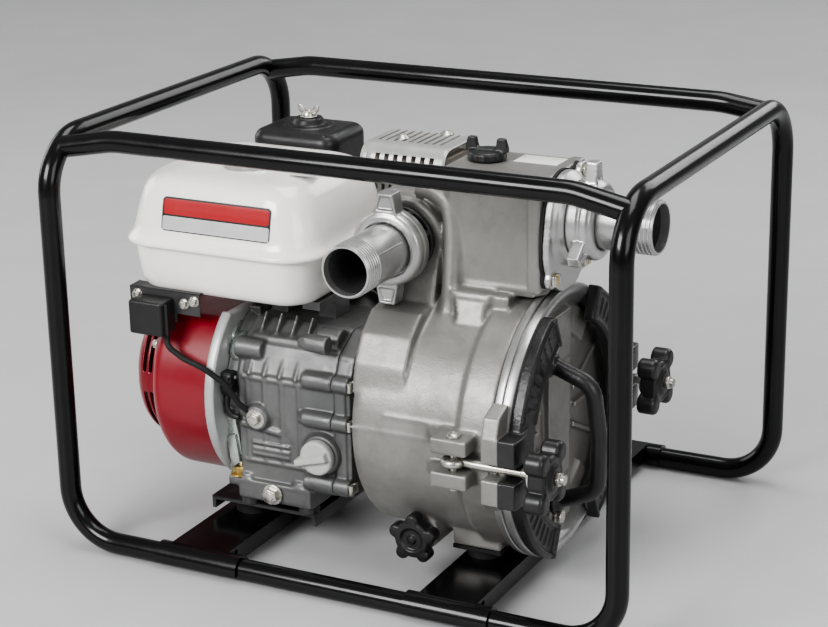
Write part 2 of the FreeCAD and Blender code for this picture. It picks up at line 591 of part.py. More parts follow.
for i in range(10):                              # side holes, two rows
    x = G0[0] + 12 + i * 8.4
    for z in (362, 346):
        gd = gd.cut(box(x, x + 4.0, 30, 40, z, z + 10))
for i in range(7):
    y = 52 + i * 8.4
    for z in (362, 346):
        gd = gd.cut(box(0, 20, y, y + 4.0, z, z + 10))
save("muffler_guard", gd, largest=True)

# -------------------------------------------------- switch, caps of the engine

sw = fillet(box(-242, -202, -199, -172, 234, 270), 3)
sw = fuse(sw, box(-222, -214, -172, -150, 240, 266))
sw = cut(sw, snail(FC_R + 0.3, -260, -140, 75, FAN_TOP + 0.3), rec)
sw = sw.cut(box(-250, -229, -192, -179, 239, 266))
sw = fuse(sorted(sw.Solids, key=lambda q: -q.Volume)[0])
lev = fuse(cy(-190.5, -180.5, -236, 254, 4.5), box(-248, -236, -190.5, -180.5, 240, 257))
save("switch_lever", lev)
# sleeved lead from the switch to the oil level sensor, clipped to the crankcase
lead = tube(LEAD, LEAD_R, 3.0)
save("switch_lead", lead)
sw = sw.cut(tube(LEAD, LEAD_R, 3.05))
save("switch_box", sw)
oilcap = fuse(cy(-183, -173.3, OILX, 124, 18), cy(-173.3, -156, OILX, 124, 12.9), box(OILX - 20, OILX + 16, -190, -183, 121, 127))
save("oil_filler_cap", oilcap)
save("oil_drain_plug", fuse(hexcyl((-96, -176, 71), (0, 1, 0), 9, 6), cy(-170, -168, -96, 71, 10), cy(-168, -152, -96, 71, 5)))

# --------------------------------------------------------------- pump casing
C1, C2R, C2 = (YC, ZC), 50.0, (YC, 250.0)
DRAIN_X, DRAIN_Z = 74.0, 61.0
outer = hull_x(C1, DRUM_R, C2, C2R, DRUM_X0, DRUM_X1)
outer = fillet(outer, 14, lambda e: e.BoundBox.XMax < DRUM_X0 + 0.1)
flange = cx(DRUM_X1 - 16, 168, YC, ZC, 131)
adapter = cx(-6, DRUM_X0 + 12, YC, ZC, 62)
TWX0, TWX1, TWY0, TWY1, TWZ = 70.0, 183.0, -116.0, -24.0, 418.0
tower = fillet(box(TWX0, TWX1, TWY0, TWY1, 300, TWZ), 16, along_z)
neck_blk = fillet(box(-13, 72, -90, -24, 262, 386), 22, lambda e: e.BoundBox.YLength > 50)
neck = cy(-108, -24, DIS_X, DIS_Z, 42)
step = box(104, 150, -128, -40, 250, 302)
suc_face = hull_x((SUC_Y, SUC_Z), 40, (SUC_Y, SUC_Z - 30), 54, 176, 183)
web_top = box(40, 140, -104, -44, 250, 320)
footN = box(100, 152, -153, -109, FOOT_Z, 110)
footF = box(100, 152, -51, -7, FOOT_Z, 110)
drain_boss = cy(-172, -100, DRAIN_X, DRAIN_Z, 19)
outer = fuse(outer, flange, adapter, tower, neck_blk, neck, step, web_top, footN, footF, drain_boss)
LY = SWING_DY
lugs = []
for sg in (-1, 1):
    yp = YC + sg * LY
    y0, y1 = sorted((YC + sg * 116, yp + sg * 12))
    for z0, z1 in ((SWING_Z + 9, SWING_Z + 25), (SWING_Z - 25, SWING_Z - 9)):
        lugs.append(box(SWING_X - 20, SWING_X + 18, y0, y1, z0, z1))
outer = fuse(outer, *lugs)
# ears on the flange that back the two clamps
inner = hull_x(C1, DRUM_R - WALL, C2, C2R - WALL, DRUM_X0 + 8, DRUM_X1 - 16)
inner = fuse(inner, cx(DRUM_X1 - 30, 170, YC, ZC, 116))
inner = fuse(inner, box(TWX0 + 8, TWX1 - 8, TWY0 + 5, TWY1 - 8, 300, TWZ - 8),
             box(-5, 64, -78, -32, 276, 378), cy(-112, -60, DIS_X, DIS_Z, 24),
             cx(TWX1 - 10, TWX1 + 1, SUC_Y, SUC_Z, 31.5), box(TWX0 + 8, 140, -104, -56, 290, 330))
casing = cut(outer, inner, cx(-10, 40, YC, ZC, 19.0), cz(400, 425, 98, -62, 15.0),
             cy(-175, -90, DRAIN_X, DRAIN_Z, 10.0))
for sg in (-1, 1):
    yp = YC + sg * LY
    casing = cut(casing, cz(SWING_Z - 40, SWING_Z + 40, SWING_X, yp, 4.06))
# clearance round the swinging eyes
for sg in (-1, 1):
    yp = YC + sg * LY
    casing = casing.cut(cz(SWING_Z - 8.6, SWING_Z + 8.6, SWING_X, yp, 13.5))
    casing = casing.cut(box(SWING_X, 175, yp - 8, yp + 8, SWING_Z - 8.6, SWING_Z + 8.6))
# screw holes of the suction valve body
SUC_BOLTS = [(SUC_Y - 37, SUC_Z + 37), (SUC_Y + 37, SUC_Z + 37), (SUC_Y - 37, SUC_Z - 52), (SUC_Y + 37, SUC_Z - 52)]
casing = fuse(casing, box(TWX1 - 14, TWX1, TWY0 - 12, TWY1 + 8, SUC_Z - 66, SUC_Z + 44).cut(
    box(TWX1 - 20, TWX1 + 1, TWY0 + 8, TWY1 - 8, SUC_Z - 60, SUC_Z + 36)).cut(cx(100, 300, YC, ZC, 141)))
casing = casing.cut(cx(TWX1 - 10, TWX1 + 1, SUC_Y, SUC_Z, 31.5)).cut(cx(168.4, TWX1 + 1, YC, ZC, 138.6))
casing = cut(casing, *[cx(TWX1 - 16, TWX1 + 1, y, z, 3.05) for y, z in SUC_BOLTS])
save("pump_casing", casing)

# volute round the impeller and the seal behind it, inside the casing
vol = cx(48, 100, YC, ZC, 88)
vol = vol.cut(cx(54, 101, YC, ZC, 78)).cut(cx(47, 55, YC, ZC, 24))
vol = vol.cut(box(54, 100, YC - 26, YC + 14, ZC + 60, ZC + 95))
vol = fuse(vol, *[cx(28, 49, YC + 84 * math.cos(a), ZC + 84 * math.sin(a), 6) for a in [math.radians(q) for q in (30, 150, 270)]])
save("inner_volute", vol)
seal = cx(29, 47, YC, ZC, 18.0).cut(cx(10, 60, YC, ZC, 10.06))
seal = fuse(seal, cx(28, 31, YC, ZC, 24).cut(cx(20, 40, YC, ZC, 10.06)))
save("mechanical_seal", seal)

# ----------------------------------------------------- cover, seal and clamps
cover_seal = cx(168, 170, YC, ZC, 130).cut(cx(167, 171, YC, ZC, 122))
cov = fuse(cx(170, 190, YC, ZC, COVER_R).cut(cx(176, 191, YC, ZC, 118)), cx(170, 177, YC, ZC, 120))
cov = cov.cut(cx(178, 180.5, YC, ZC, 140).cut(cx(177, 181, YC, ZC, 135)))
boss = fuse(box(176, 184, YC - 26, YC + 26, ZC - 100, ZC + 100), cx(100, 177, YC, ZC, 30).cut(cx(99, 170, YC, ZC, 24)))
boss = fillet(boss, 1.0, lambda e: False)
cov = fuse(cov, box(176, 184, YC - 27, YC + 27, ZC - 112, ZC + 112).common(cx(170, 190, YC, ZC, 119)))
cov = fuse(cov, cx(104, 171, YC, ZC, 30).cut(cx(103, 172, YC, ZC, 24)).common(box(104, 172, -200, 200, 0, 400)))
HX, HY = 184.0, -116.0
cov = fuse(cov, *[cx(176, 190, HY + dy, z, 13) for dy, z in ((-8, 240), (8, 92))])
# yoke seats on the rim
for sg in (-1, 1):
    y0, y1 = sorted((YC + sg * 128, YC + sg * 156))
    b = box(170, 188, y0, y1, SWING_Z - 33, SWING_Z + 33)
    cov = cov.fuse(b)
    y0, y1 = sorted((YC + sg * (LY - 8), YC + sg * 180))
    cov = cov.cut(box(165, 195, y0, y1, SWING_Z - 8.2, SWING_Z + 8.2))
cov = cov.removeSplitter()
save("pump_cover", cov)

SWR = 207.0 - SWING_X       # seat radius about the swing pin


def clamp(sg):
    ring = cx(190, 201, YC, ZC, 137).cut(cx(189, 202, YC, ZC, 101))
    wedge = [(YC, ZC)]
    for k in range(-66, 67, 6):
        a = math.radians(k) if sg > 0 else math.radians(180 - k)
        wedge.append((YC + 260 * math.cos(a), ZC + 260 * math.sin(a)))
    arm = ring.common(prism_x(wedge, 185, 205))
    y0, y1 = sorted((YC + sg * 112, YC + sg * 157))
    yoke = box(188, 209, y0, y1, SWING_Z - 34, SWING_Z + 34)
    # cylindrical seat for the knob, centred on the swing pin
    yp = YC + sg * LY
    seat = cz(SWING_Z - 60, SWING_Z + 60, SWING_X, yp, SWR)
    yoke = yoke.common(fuse(seat, box(180, 196, y0, y1, 0, 300)))
    s = fuse(arm, yoke)
    y0, y1 = sorted((YC + sg * (LY - 8), YC + sg * 190))
    s = s.cut(box(165, 230, y0, y1, SWING_Z - 8.2, SWING_Z + 8.2))
    s = s.cut(cov)
    return s


save("cover_clamps", [clamp(-1), clamp(1)])


def swing_bolt(sg):
    yp = YC + sg * LY
    eye = cz(SWING_Z - 8.0, SWING_Z + 8.0, SWING_X, yp, 11.0)
    rod = cx(SWING_X + 4, 250, yp, SWING_Z, 5.0)
    pin = fuse(cz(SWING_Z - 28, SWING_Z + 28, SWING_X, yp, 4.0), cz(SWING_Z + 25.3, SWING_Z + 29, SWING_X, yp, 7.5),
               cz(SWING_Z - 29, SWING_Z - 25.3, SWING_X, yp, 5.5))
    return [fuse(eye, rod).cut(cz(0, 400, SWING_X, yp, 4.0)), pin]


def knob(sg):
    yp = YC + sg * LY
    hub = cx(SWING_X + SWR + 0.4, 230, yp, SWING_Z, 14)
    s = fuse(hub, cx(219, 242, yp, SWING_Z, 20))
    for k in range(4):
        a = math.radians(45 + 90 * k)
        c = (yp + 27 * math.cos(a), SWING_Z + 27 * math.sin(a))
        s = fuse(s, cx(219, 240, c[0], c[1], 11))
    s = s.cut(cx(190, 255, yp, SWING_Z, 5.06))
    return s


save("swing_bolt_near", swing_bolt(-1))
save("swing_bolt_far", swing_bolt(1))
save("clamp_knob_near", knob(-1))
save("clamp_knob_far", knob(1))
# D handle on the cover, and its screws
hp = [(198, HY - 8, 240), (236, HY - 8 + 1.5, 222), (240, HY, 166), (236, HY + 8 - 1.5, 110), (198, HY + 8, 92)]
hand = tube(hp, [20, 60, 20], 8.5)
feet = [cx(190, 200, HY + dy, z, 14) for dy, z in ((-8, 240), (8, 92))]
hand = fuse(hand, *feet)
hand = cut(hand, box(150, 190, -300, 200, 0, 400))
save("cover_handle", hand)

# ------------------------------------------------------------- suction side
vb = hull_x((SUC_Y, SUC_Z), 46, (SUC_Y, SUC_Z - 22), 50, 186, 193)
vb = fuse(vb, *[cx(186, 193, y, z, 9) for y, z in SUC_BOLTS])
vb = fuse(vb, conex(193, 203, SUC_Y, SUC_Z, 44, 38), cx(200, 220, SUC_Y, SUC_Z, 30))
vb = cut(vb, cx(180, 240, SUC_Y, SUC_Z, 25))
vb = cut(vb, *[cx(180, 200, y, z, 3.05) for y, z in SUC_BOLTS])
vb = cut(vb, conex(185.9, 199, SUC_Y, SUC_Z, 33, 27))
vb = vb.cut(cx(150, 200, YC, ZC, 138.6))
save("suction_valve_body", vb)
gk = hull_x((SUC_Y, SUC_Z), 47, (SUC_Y, SUC_Z - 22), 51, 183, 186)
gk = fuse(gk, *[cx(183, 186, y, z, 9.5) for y, z in SUC_BOLTS])
gk = cut(gk, cx(150, 200, YC, ZC, 138.6), cx(180, 190, SUC_Y, SUC_Z, 33.4), *[cx(180, 190, y, z, 3.05) for y, z in SUC_BOLTS])
save("casing_seals", [gk, cover_seal])
m6_bolts += [m6(193, y, z) for y, z in SUC_BOLTS]
save("hex_bolts", m6_bolts)
flap = cx(187.5, 191, SUC_Y, SUC_Z, 29.5)
flap = fuse(cx(184.0, 187.4, SUC_Y, SUC_Z, 28.0), cy(SUC_Y - 7, SUC_Y + 7, 185.7, SUC_Z + 29, 1.7), box(184.2, 187.2, SUC_Y - 6, SUC_Y + 6, SUC_Z + 24, SUC_Z + 29))
save("check_valve_flap", flap)


def coupling(axis, lug_angles, s0, s1, hole, sgn):
    """Claw-type ring nut that clamps a hose nipple to its port; axis is x or y."""
    def C(a, b, r):
        return cx(a, b, SUC_Y, SUC_Z, r) if axis == "x" else cy(a, b, DIS_X, DIS_Z, r)
    ring = fuse(C(s0, s1, 38.0))
    for a in lug_angles:
        if axis == "x":
            l = box(s0 + 2, s1 - 3, SUC_Y + 30, SUC_Y + 58, SUC_Z - 8, SUC_Z + 8)
            l.rotate(V(0, SUC_Y, SUC_Z), V(1, 0, 0), a)
        else:
            l = box(DIS_X - 9, DIS_X + 9, s0 + 2, s1 - 3, DIS_Z + 30, DIS_Z + 56)
            l.rotate(V(DIS_X, 0, DIS_Z), V(0, 1, 0), a)
        ring = ring.fuse(l)
    return ring.removeSplitter()


# suction: valve body spigot R30, nipple flange R33 inside the ring
def suc(a, b, r):
    return cx(a, b, SUC_Y, SUC_Z, r)


ring = coupling("x", (90, 210, 330), 203.3, 230, 0, 1)
ring = cut(ring, suc(203, 226, 33.4), suc(225, 243, 27.4))
save("suction_coupling_ring", ring)
nip = fuse(suc(220, 225.6, 33.0), suc(220, 233, 26.2), suc(233, 286, NIPPLE_R))
suction_nipple = cut(nip, suc(210, 290, 23.0))


def dis(a, b, r):
    return cy(a, b, DIS_X, DIS_Z, r)


port = cut(fuse(dis(-126, -108, 34.5), dis(-138, -126, 30.0)), dis(-145, -100, 24.0))
save("discharge_port_adapter", port)
ring = coupling("y", (0, 180), -149, -126.3, 0, -1)
ring = cut(ring, dis(-144, -124, 33.4), dis(-157, -143, 27.4))
save("discharge_coupling_ring", ring)
nip = fuse(dis(-143.6, -138, 33.0), dis(-152, -138, 26.2), dis(-228, -152, NIPPLE_R))
discharge_nipple = cut(nip, dis(-232, -130, 23.0))
save("hose_nipples", [suction_nipple, discharge_nipple])

# ------------------------------------------------------------------- caps
pc = fuse(cz(418.3, 428, 98, -62, 19), cz(404, 418.3, 98, -62, 14.9), box(76, 88, -67, -57, 426, 440), box(108, 120, -67, -57, 426, 440),
          box(78, 118, -66, -58, 424, 430))
save("priming_cap", pc)
dc = fuse(cy(-194, -178, DRAIN_X, DRAIN_Z, 19), cy(-178, -172.3, DRAIN_X, DRAIN_Z, 16), cy(-172.3, -130, DRAIN_X, DRAIN_Z, 9.9))
for k in range(5):
    a = math.radians(72 * k + 18)
    dc = fuse(dc, cy(-194, -178, DRAIN_X + 19 * math.cos(a), DRAIN_Z + 19 * math.sin(a), 7))
save("drain_cap", dc)
print("nodes", len(DONE))
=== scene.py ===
import math
import json
import bpy
import bmesh
import numpy as np
from mathutils import Vector, Matrix


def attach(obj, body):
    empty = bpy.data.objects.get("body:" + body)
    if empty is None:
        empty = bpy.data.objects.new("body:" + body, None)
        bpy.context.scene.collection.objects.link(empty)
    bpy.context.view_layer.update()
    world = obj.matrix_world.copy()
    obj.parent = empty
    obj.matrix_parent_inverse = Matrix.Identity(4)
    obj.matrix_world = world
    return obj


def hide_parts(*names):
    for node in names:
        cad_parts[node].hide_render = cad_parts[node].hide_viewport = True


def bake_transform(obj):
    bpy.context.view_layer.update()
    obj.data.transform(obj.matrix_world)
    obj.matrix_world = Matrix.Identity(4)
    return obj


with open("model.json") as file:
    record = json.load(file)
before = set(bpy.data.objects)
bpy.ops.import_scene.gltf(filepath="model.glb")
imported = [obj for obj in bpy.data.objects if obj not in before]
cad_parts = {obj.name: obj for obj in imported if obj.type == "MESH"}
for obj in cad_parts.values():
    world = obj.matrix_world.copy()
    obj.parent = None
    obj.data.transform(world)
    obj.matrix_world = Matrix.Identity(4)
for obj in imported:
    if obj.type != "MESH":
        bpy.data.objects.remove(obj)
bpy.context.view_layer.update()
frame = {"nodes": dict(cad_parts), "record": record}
NODES = frame["nodes"]
MM = 0.001

# ------------------------------------------------------------------ materials
MATS = {}


def _ramp(nt, fac, stops):
    r = nt.nodes.new("ShaderNodeValToRGB")
    el = r.color_ramp.elements
    while len(el) < len(stops):
        el.new(0.5)
    for e, (p, c) in zip(el, stops):
        e.position = p
        e.color = (*c, 1) if len(c) == 3 else c
    nt.links.new(fac, r.inputs[0])
    return r.outputs[0]


def _noise(nt, vec, scale, detail=4.0, rough=0.55, dist=0.0):
    n = nt.nodes.new("ShaderNodeTexNoise")
    n.inputs["Scale"].default_value = scale
    n.inputs["Detail"].default_value = detail
    n.inputs["Roughness"].default_value = rough
    n.inputs["Distortion"].default_value = dist
    nt.links.new(vec, n.inputs["Vector"])
    return n.outputs["Fac"]


def _mixc(nt, fac, a, b, mode="MIX"):
    m = nt.nodes.new("ShaderNodeMix")
    m.data_type = "RGBA"
    m.blend_type = mode
    for sock, v in ((m.inputs[0], fac), (m.inputs[6], a), (m.inputs[7], b)):
        if hasattr(v, "is_linked") or hasattr(v, "links"):
            nt.links.new(v, sock)
        elif isinstance(v, (tuple, list)):
            sock.default_value = (*v, 1) if len(v) == 3 else v
        else:
            sock.default_value = v
    return m.outputs[2]


def _range(nt, v, a, b, c, d):
    m = nt.nodes.new("ShaderNodeMapRange")
    m.inputs[1].default_value = a
    m.inputs[2].default_value = b
    m.inputs[3].default_value = c
    m.inputs[4].default_value = d
    nt.links.new(v, m.inputs[0])
    return m.outputs[0]


def material(name, color, metallic=0.0, rough=(0.35, 0.5), color2=None, large=14.0, fine=900.0,
             bump=0.1, bump_mm=0.15, speck=None, coat=0.0, coat_rough=0.1, streak=None, spec=0.5,
             shade_and_dirt=None, shade_and_dirt_amount=0.5, stretch=None, edge=None, sheen=0.0):
    """One procedural finish: colour drift, fine grain, roughness patches and surface relief."""
    m = bpy.data.materials.new(name)
    m.use_nodes = True
    nt = m.node_tree
    b = nt.nodes["Principled BSDF"]
    tc = nt.nodes.new("ShaderNodeTexCoord")
    vec = tc.outputs["Object"]
    if stretch:
        mp = nt.nodes.new("ShaderNodeMapping")
        mp.inputs["Scale"].default_value = stretch
        nt.links.new(vec, mp.inputs["Vector"])
        svec = mp.outputs[0]
    else:
        svec = vec
    big = _noise(nt, vec, large, 5.0, 0.6, 0.6)
    tiny = _noise(nt, svec, fine, 3.0, 0.6)
    mid = _noise(nt, svec, fine / 9.0, 4.0, 0.6)
    c2 = color2 or tuple(min(1.0, c * 1.25 + 0.01) for c in color)
    base = _mixc(nt, _range(nt, big, 0.35, 0.68, 0.0, 1.0), color, c2)
    base = _mixc(nt, _range(nt, mid, 0.3, 0.75, 0.0, 0.35), base, tuple(c * 0.82 for c in color))
    if speck:
        base = _mixc(nt, _range(nt, tiny, 0.62, 0.7, 0.0, 1.0), base, speck)
    geo = nt.nodes.new("ShaderNodeNewGeometry")
    if edge:
        base = _mixc(nt, _range(nt, geo.outputs["Pointiness"], 0.53, 0.60, 0.0, 0.8), base, edge)
    if shade_and_dirt:
        # painted shade: faces in creases and hollows (low pointiness) are pulled towards the given dark colour,
        # standing in for the shade that falls there
        g = _range(nt, geo.outputs["Pointiness"], 0.44, 0.495, shade_and_dirt_amount, 0.0)
        base = _mixc(nt, g, base, shade_and_dirt)
        # random dark patches in the same dark colour: dirt
        g2 = _noise(nt, vec, large * 2.3, 6.0, 0.7, 1.0)
        base = _mixc(nt, _range(nt, g2, 0.55, 0.8, 0.0, shade_and_dirt_amount * 0.7), base, shade_and_dirt)
    nt.links.new(base, b.inputs["Base Color"])
    b.inputs["Metallic"].default_value = metallic
    b.inputs["Specular IOR Level"].default_value = spec
    nt.links.new(_range(nt, _noise(nt, vec, large * 4, 4.0, 0.65), 0.3, 0.7, rough[0], rough[1]), b.inputs["Roughness"])
    if coat:
        b.inputs["Coat Weight"].default_value = coat
        b.inputs["Coat Roughness"].default_value = coat_rough
    bp = nt.nodes.new("ShaderNodeBump")
    bp.inputs["Strength"].default_value = bump
    bp.inputs["Distance"].default_value = bump_mm * MM * 2
    h = nt.nodes.new("ShaderNodeMath")
    h.operation = "MULTIPLY_ADD"
    nt.links.new(mid, h.inputs[0])
    h.inputs[1].default_value = 1.4
    nt.links.new(tiny, h.inputs[2])
    nt.links.new(h.outputs[0], bp.inputs["Height"])
    nt.links.new(bp.outputs[0], b.inputs["Normal"])
    MATS[name] = m
    return m


material("frame_paint", (0.0025, 0.0025, 0.003), 0.0, (0.18, 0.27), (0.005, 0.005, 0.0055), 9, 260, 0.08, 0.2, coat=0.18, coat_rough=0.05, spec=0.26)
material("bracket_paint", (0.010, 0.010, 0.011), 0.0, (0.28, 0.42), (0.020, 0.020, 0.021), 16, 420, 0.18, 0.2, edge=(0.05, 0.05, 0.05))
material("rubber_black", (0.012, 0.012, 0.012), 0.0, (0.55, 0.75), (0.022, 0.022, 0.021), 22, 1100, 0.25, 0.12, spec=0.3)
material("engine_casting", (0.128, 0.131, 0.129), 0.5, (0.34, 0.50), (0.185, 0.188, 0.183), 13, 850, 0.34, 0.18, shade_and_dirt=(0.03, 0.029, 0.027), shade_and_dirt_amount=0.65, edge=(0.38, 0.38, 0.37))
material("pump_casting", (0.225, 0.220, 0.207), 0.55, (0.34, 0.50), (0.305, 0.299, 0.283), 9, 700, 0.42, 0.24, shade_and_dirt=(0.075, 0.072, 0.064), shade_and_dirt_amount=0.55, edge=(0.62, 0.615, 0.60))
material("machined_aluminium", (0.44, 0.44, 0.435), 0.8, (0.27, 0.38), (0.54, 0.54, 0.535), 16, 1400, 0.14, 0.08, shade_and_dirt=(0.20, 0.20, 0.19), shade_and_dirt_amount=0.25)
material("bearing_steel", (0.45, 0.46, 0.47), 0.95, (0.16, 0.3), None, 30, 1800, 0.05, 0.05)
material("forged_steel", (0.30, 0.31, 0.32), 0.95, (0.25, 0.42), None, 22, 1200, 0.12, 0.1)
material("iron_grey", (0.085, 0.085, 0.088), 0.6, (0.5, 0.7), (0.12, 0.118, 0.115), 18, 700, 0.4, 0.2)
material("plastic_black", (0.009, 0.009, 0.0095), 0.0, (0.32, 0.46), (0.016, 0.016, 0.017), 16, 1300, 0.22, 0.08, spec=0.5)
material("zinc_steel", (0.50, 0.49, 0.45), 0.9, (0.22, 0.38), (0.62, 0.60, 0.54), 40, 1700, 0.10, 0.06, shade_and_dirt=(0.18, 0.16, 0.12), shade_and_dirt_amount=0.35)
material("red_paint", (0.215, 0.006, 0.014), 0.0, (0.28, 0.40), (0.235, 0.007, 0.016), 7, 650, 0.10, 0.10, coat=0.2, coat_rough=0.2)
material("white_paint", (0.95, 0.93, 0.885), 0.0, (0.16, 0.24), (0.96, 0.94, 0.90), 5, 380, 0.04, 0.10, coat=0.5, coat_rough=0.06)
material("chrome_cap", (0.60, 0.61, 0.62), 0.95, (0.12, 0.22), None, 20, 1200, 0.06, 0.05)
material("filter_foam", (0.03, 0.03, 0.031), 0.0, (0.8, 0.95), (0.05, 0.05, 0.05), 30, 700, 0.8, 0.6)
material("muffler_steel", (0.22, 0.205, 0.19), 0.8, (0.42, 0.6), (0.28, 0.24, 0.20), 12, 900, 0.2, 0.12)
material("guard_paint", (0.36, 0.365, 0.35), 0.35, (0.32, 0.46), (0.44, 0.44, 0.42), 12, 900, 0.16, 0.10, edge=(0.6, 0.6, 0.58), shade_and_dirt=(0.1, 0.1, 0.09), shade_and_dirt_amount=0.3)
material("plastic_red", (0.42, 0.010, 0.016), 0.0, (0.2, 0.32), None, 14, 900, 0.08, 0.06)
material("plastic_grey", (0.30, 0.30, 0.295), 0.0, (0.36, 0.5), (0.36, 0.36, 0.35), 16, 1300, 0.15, 0.08)
material("black_casting", (0.012, 0.012, 0.0125), 0.0, (0.26, 0.42), (0.022, 0.022, 0.023), 16, 420, 0.55, 0.30, edge=(0.05, 0.05, 0.052))
material("label_white", (0.72, 0.72, 0.70), 0.0, (0.25, 0.35), (0.75, 0.75, 0.73), 30, 1500, 0.05, 0.05)
material("label_silver", (0.56, 0.56, 0.565), 0.35, (0.3, 0.38), (0.60, 0.60, 0.605), 20, 1500, 0.05, 0.05)
material("label_grey", (0.30, 0.30, 0.31), 0.1, (0.3, 0.4), (0.34, 0.34, 0.35), 30, 1500, 0.06, 0.05)
material("label_red", (0.36, 0.012, 0.016), 0.0, (0.25, 0.35), (0.37, 0.013, 0.017), 4, 1500, 0.05, 0.05)
material("label_dark", (0.012, 0.012, 0.012), 0.0, (0.3, 0.4), None, 30, 1500, 0.05, 0.05)
material("light_casting", (0.46, 0.465, 0.465), 0.45, (0.34, 0.48), (0.54, 0.545, 0.545), 14, 900, 0.22, 0.14, shade_and_dirt=(0.12, 0.12, 0.115), shade_and_dirt_amount=0.45)
material("plated_sheet", (0.42, 0.46, 0.44), 0.85, (0.2, 0.34), (0.52, 0.56, 0.52), 24, 1200, 0.08, 0.08, shade_and_dirt=(0.10, 0.11, 0.09), shade_and_dirt_amount=0.4)
material("cap_grey", (0.44, 0.44, 0.425), 0.0, (0.34, 0.46), (0.50, 0.50, 0.485), 18, 1200, 0.15, 0.08, shade_and_dirt=(0.16, 0.155, 0.14), shade_and_dirt_amount=0.35)
material("rope_fibre", (0.30, 0.28, 0.24), 0.0, (0.7, 0.9), (0.4, 0.38, 0.33), 60, 2200, 0.6, 0.3)
material("brass_plated", (0.52, 0.36, 0.13), 0.9, (0.25, 0.4), (0.62, 0.45, 0.18), 40, 1500, 0.1, 0.06, shade_and_dirt=(0.12, 0.08, 0.03), shade_and_dirt_amount=0.4)

RECORD_SLOT = {s["node"]: s["material_slot"] for s in frame["record"]["subparts"]}
NODE_BODY = {}
for bname, members in frame["record"]["behaviour"]["bodies"].items():
    for n in members:
        NODE_BODY[n] = bname
for n, o in NODES.items():
    o.data.materials.clear()
    o.data.materials.append(MATS[RECORD_SLOT[n]])


# ------------------------------------------------------------- mesh tool box
def rot_to(axis):
    return {"x": Matrix(((0, 0, 1), (1, 0, 0), (0, 1, 0))), "y": Matrix(((0, 1, 0), (0, 0, 1), (1, 0, 0))),
            "z": Matrix.Identity(3)}[axis]


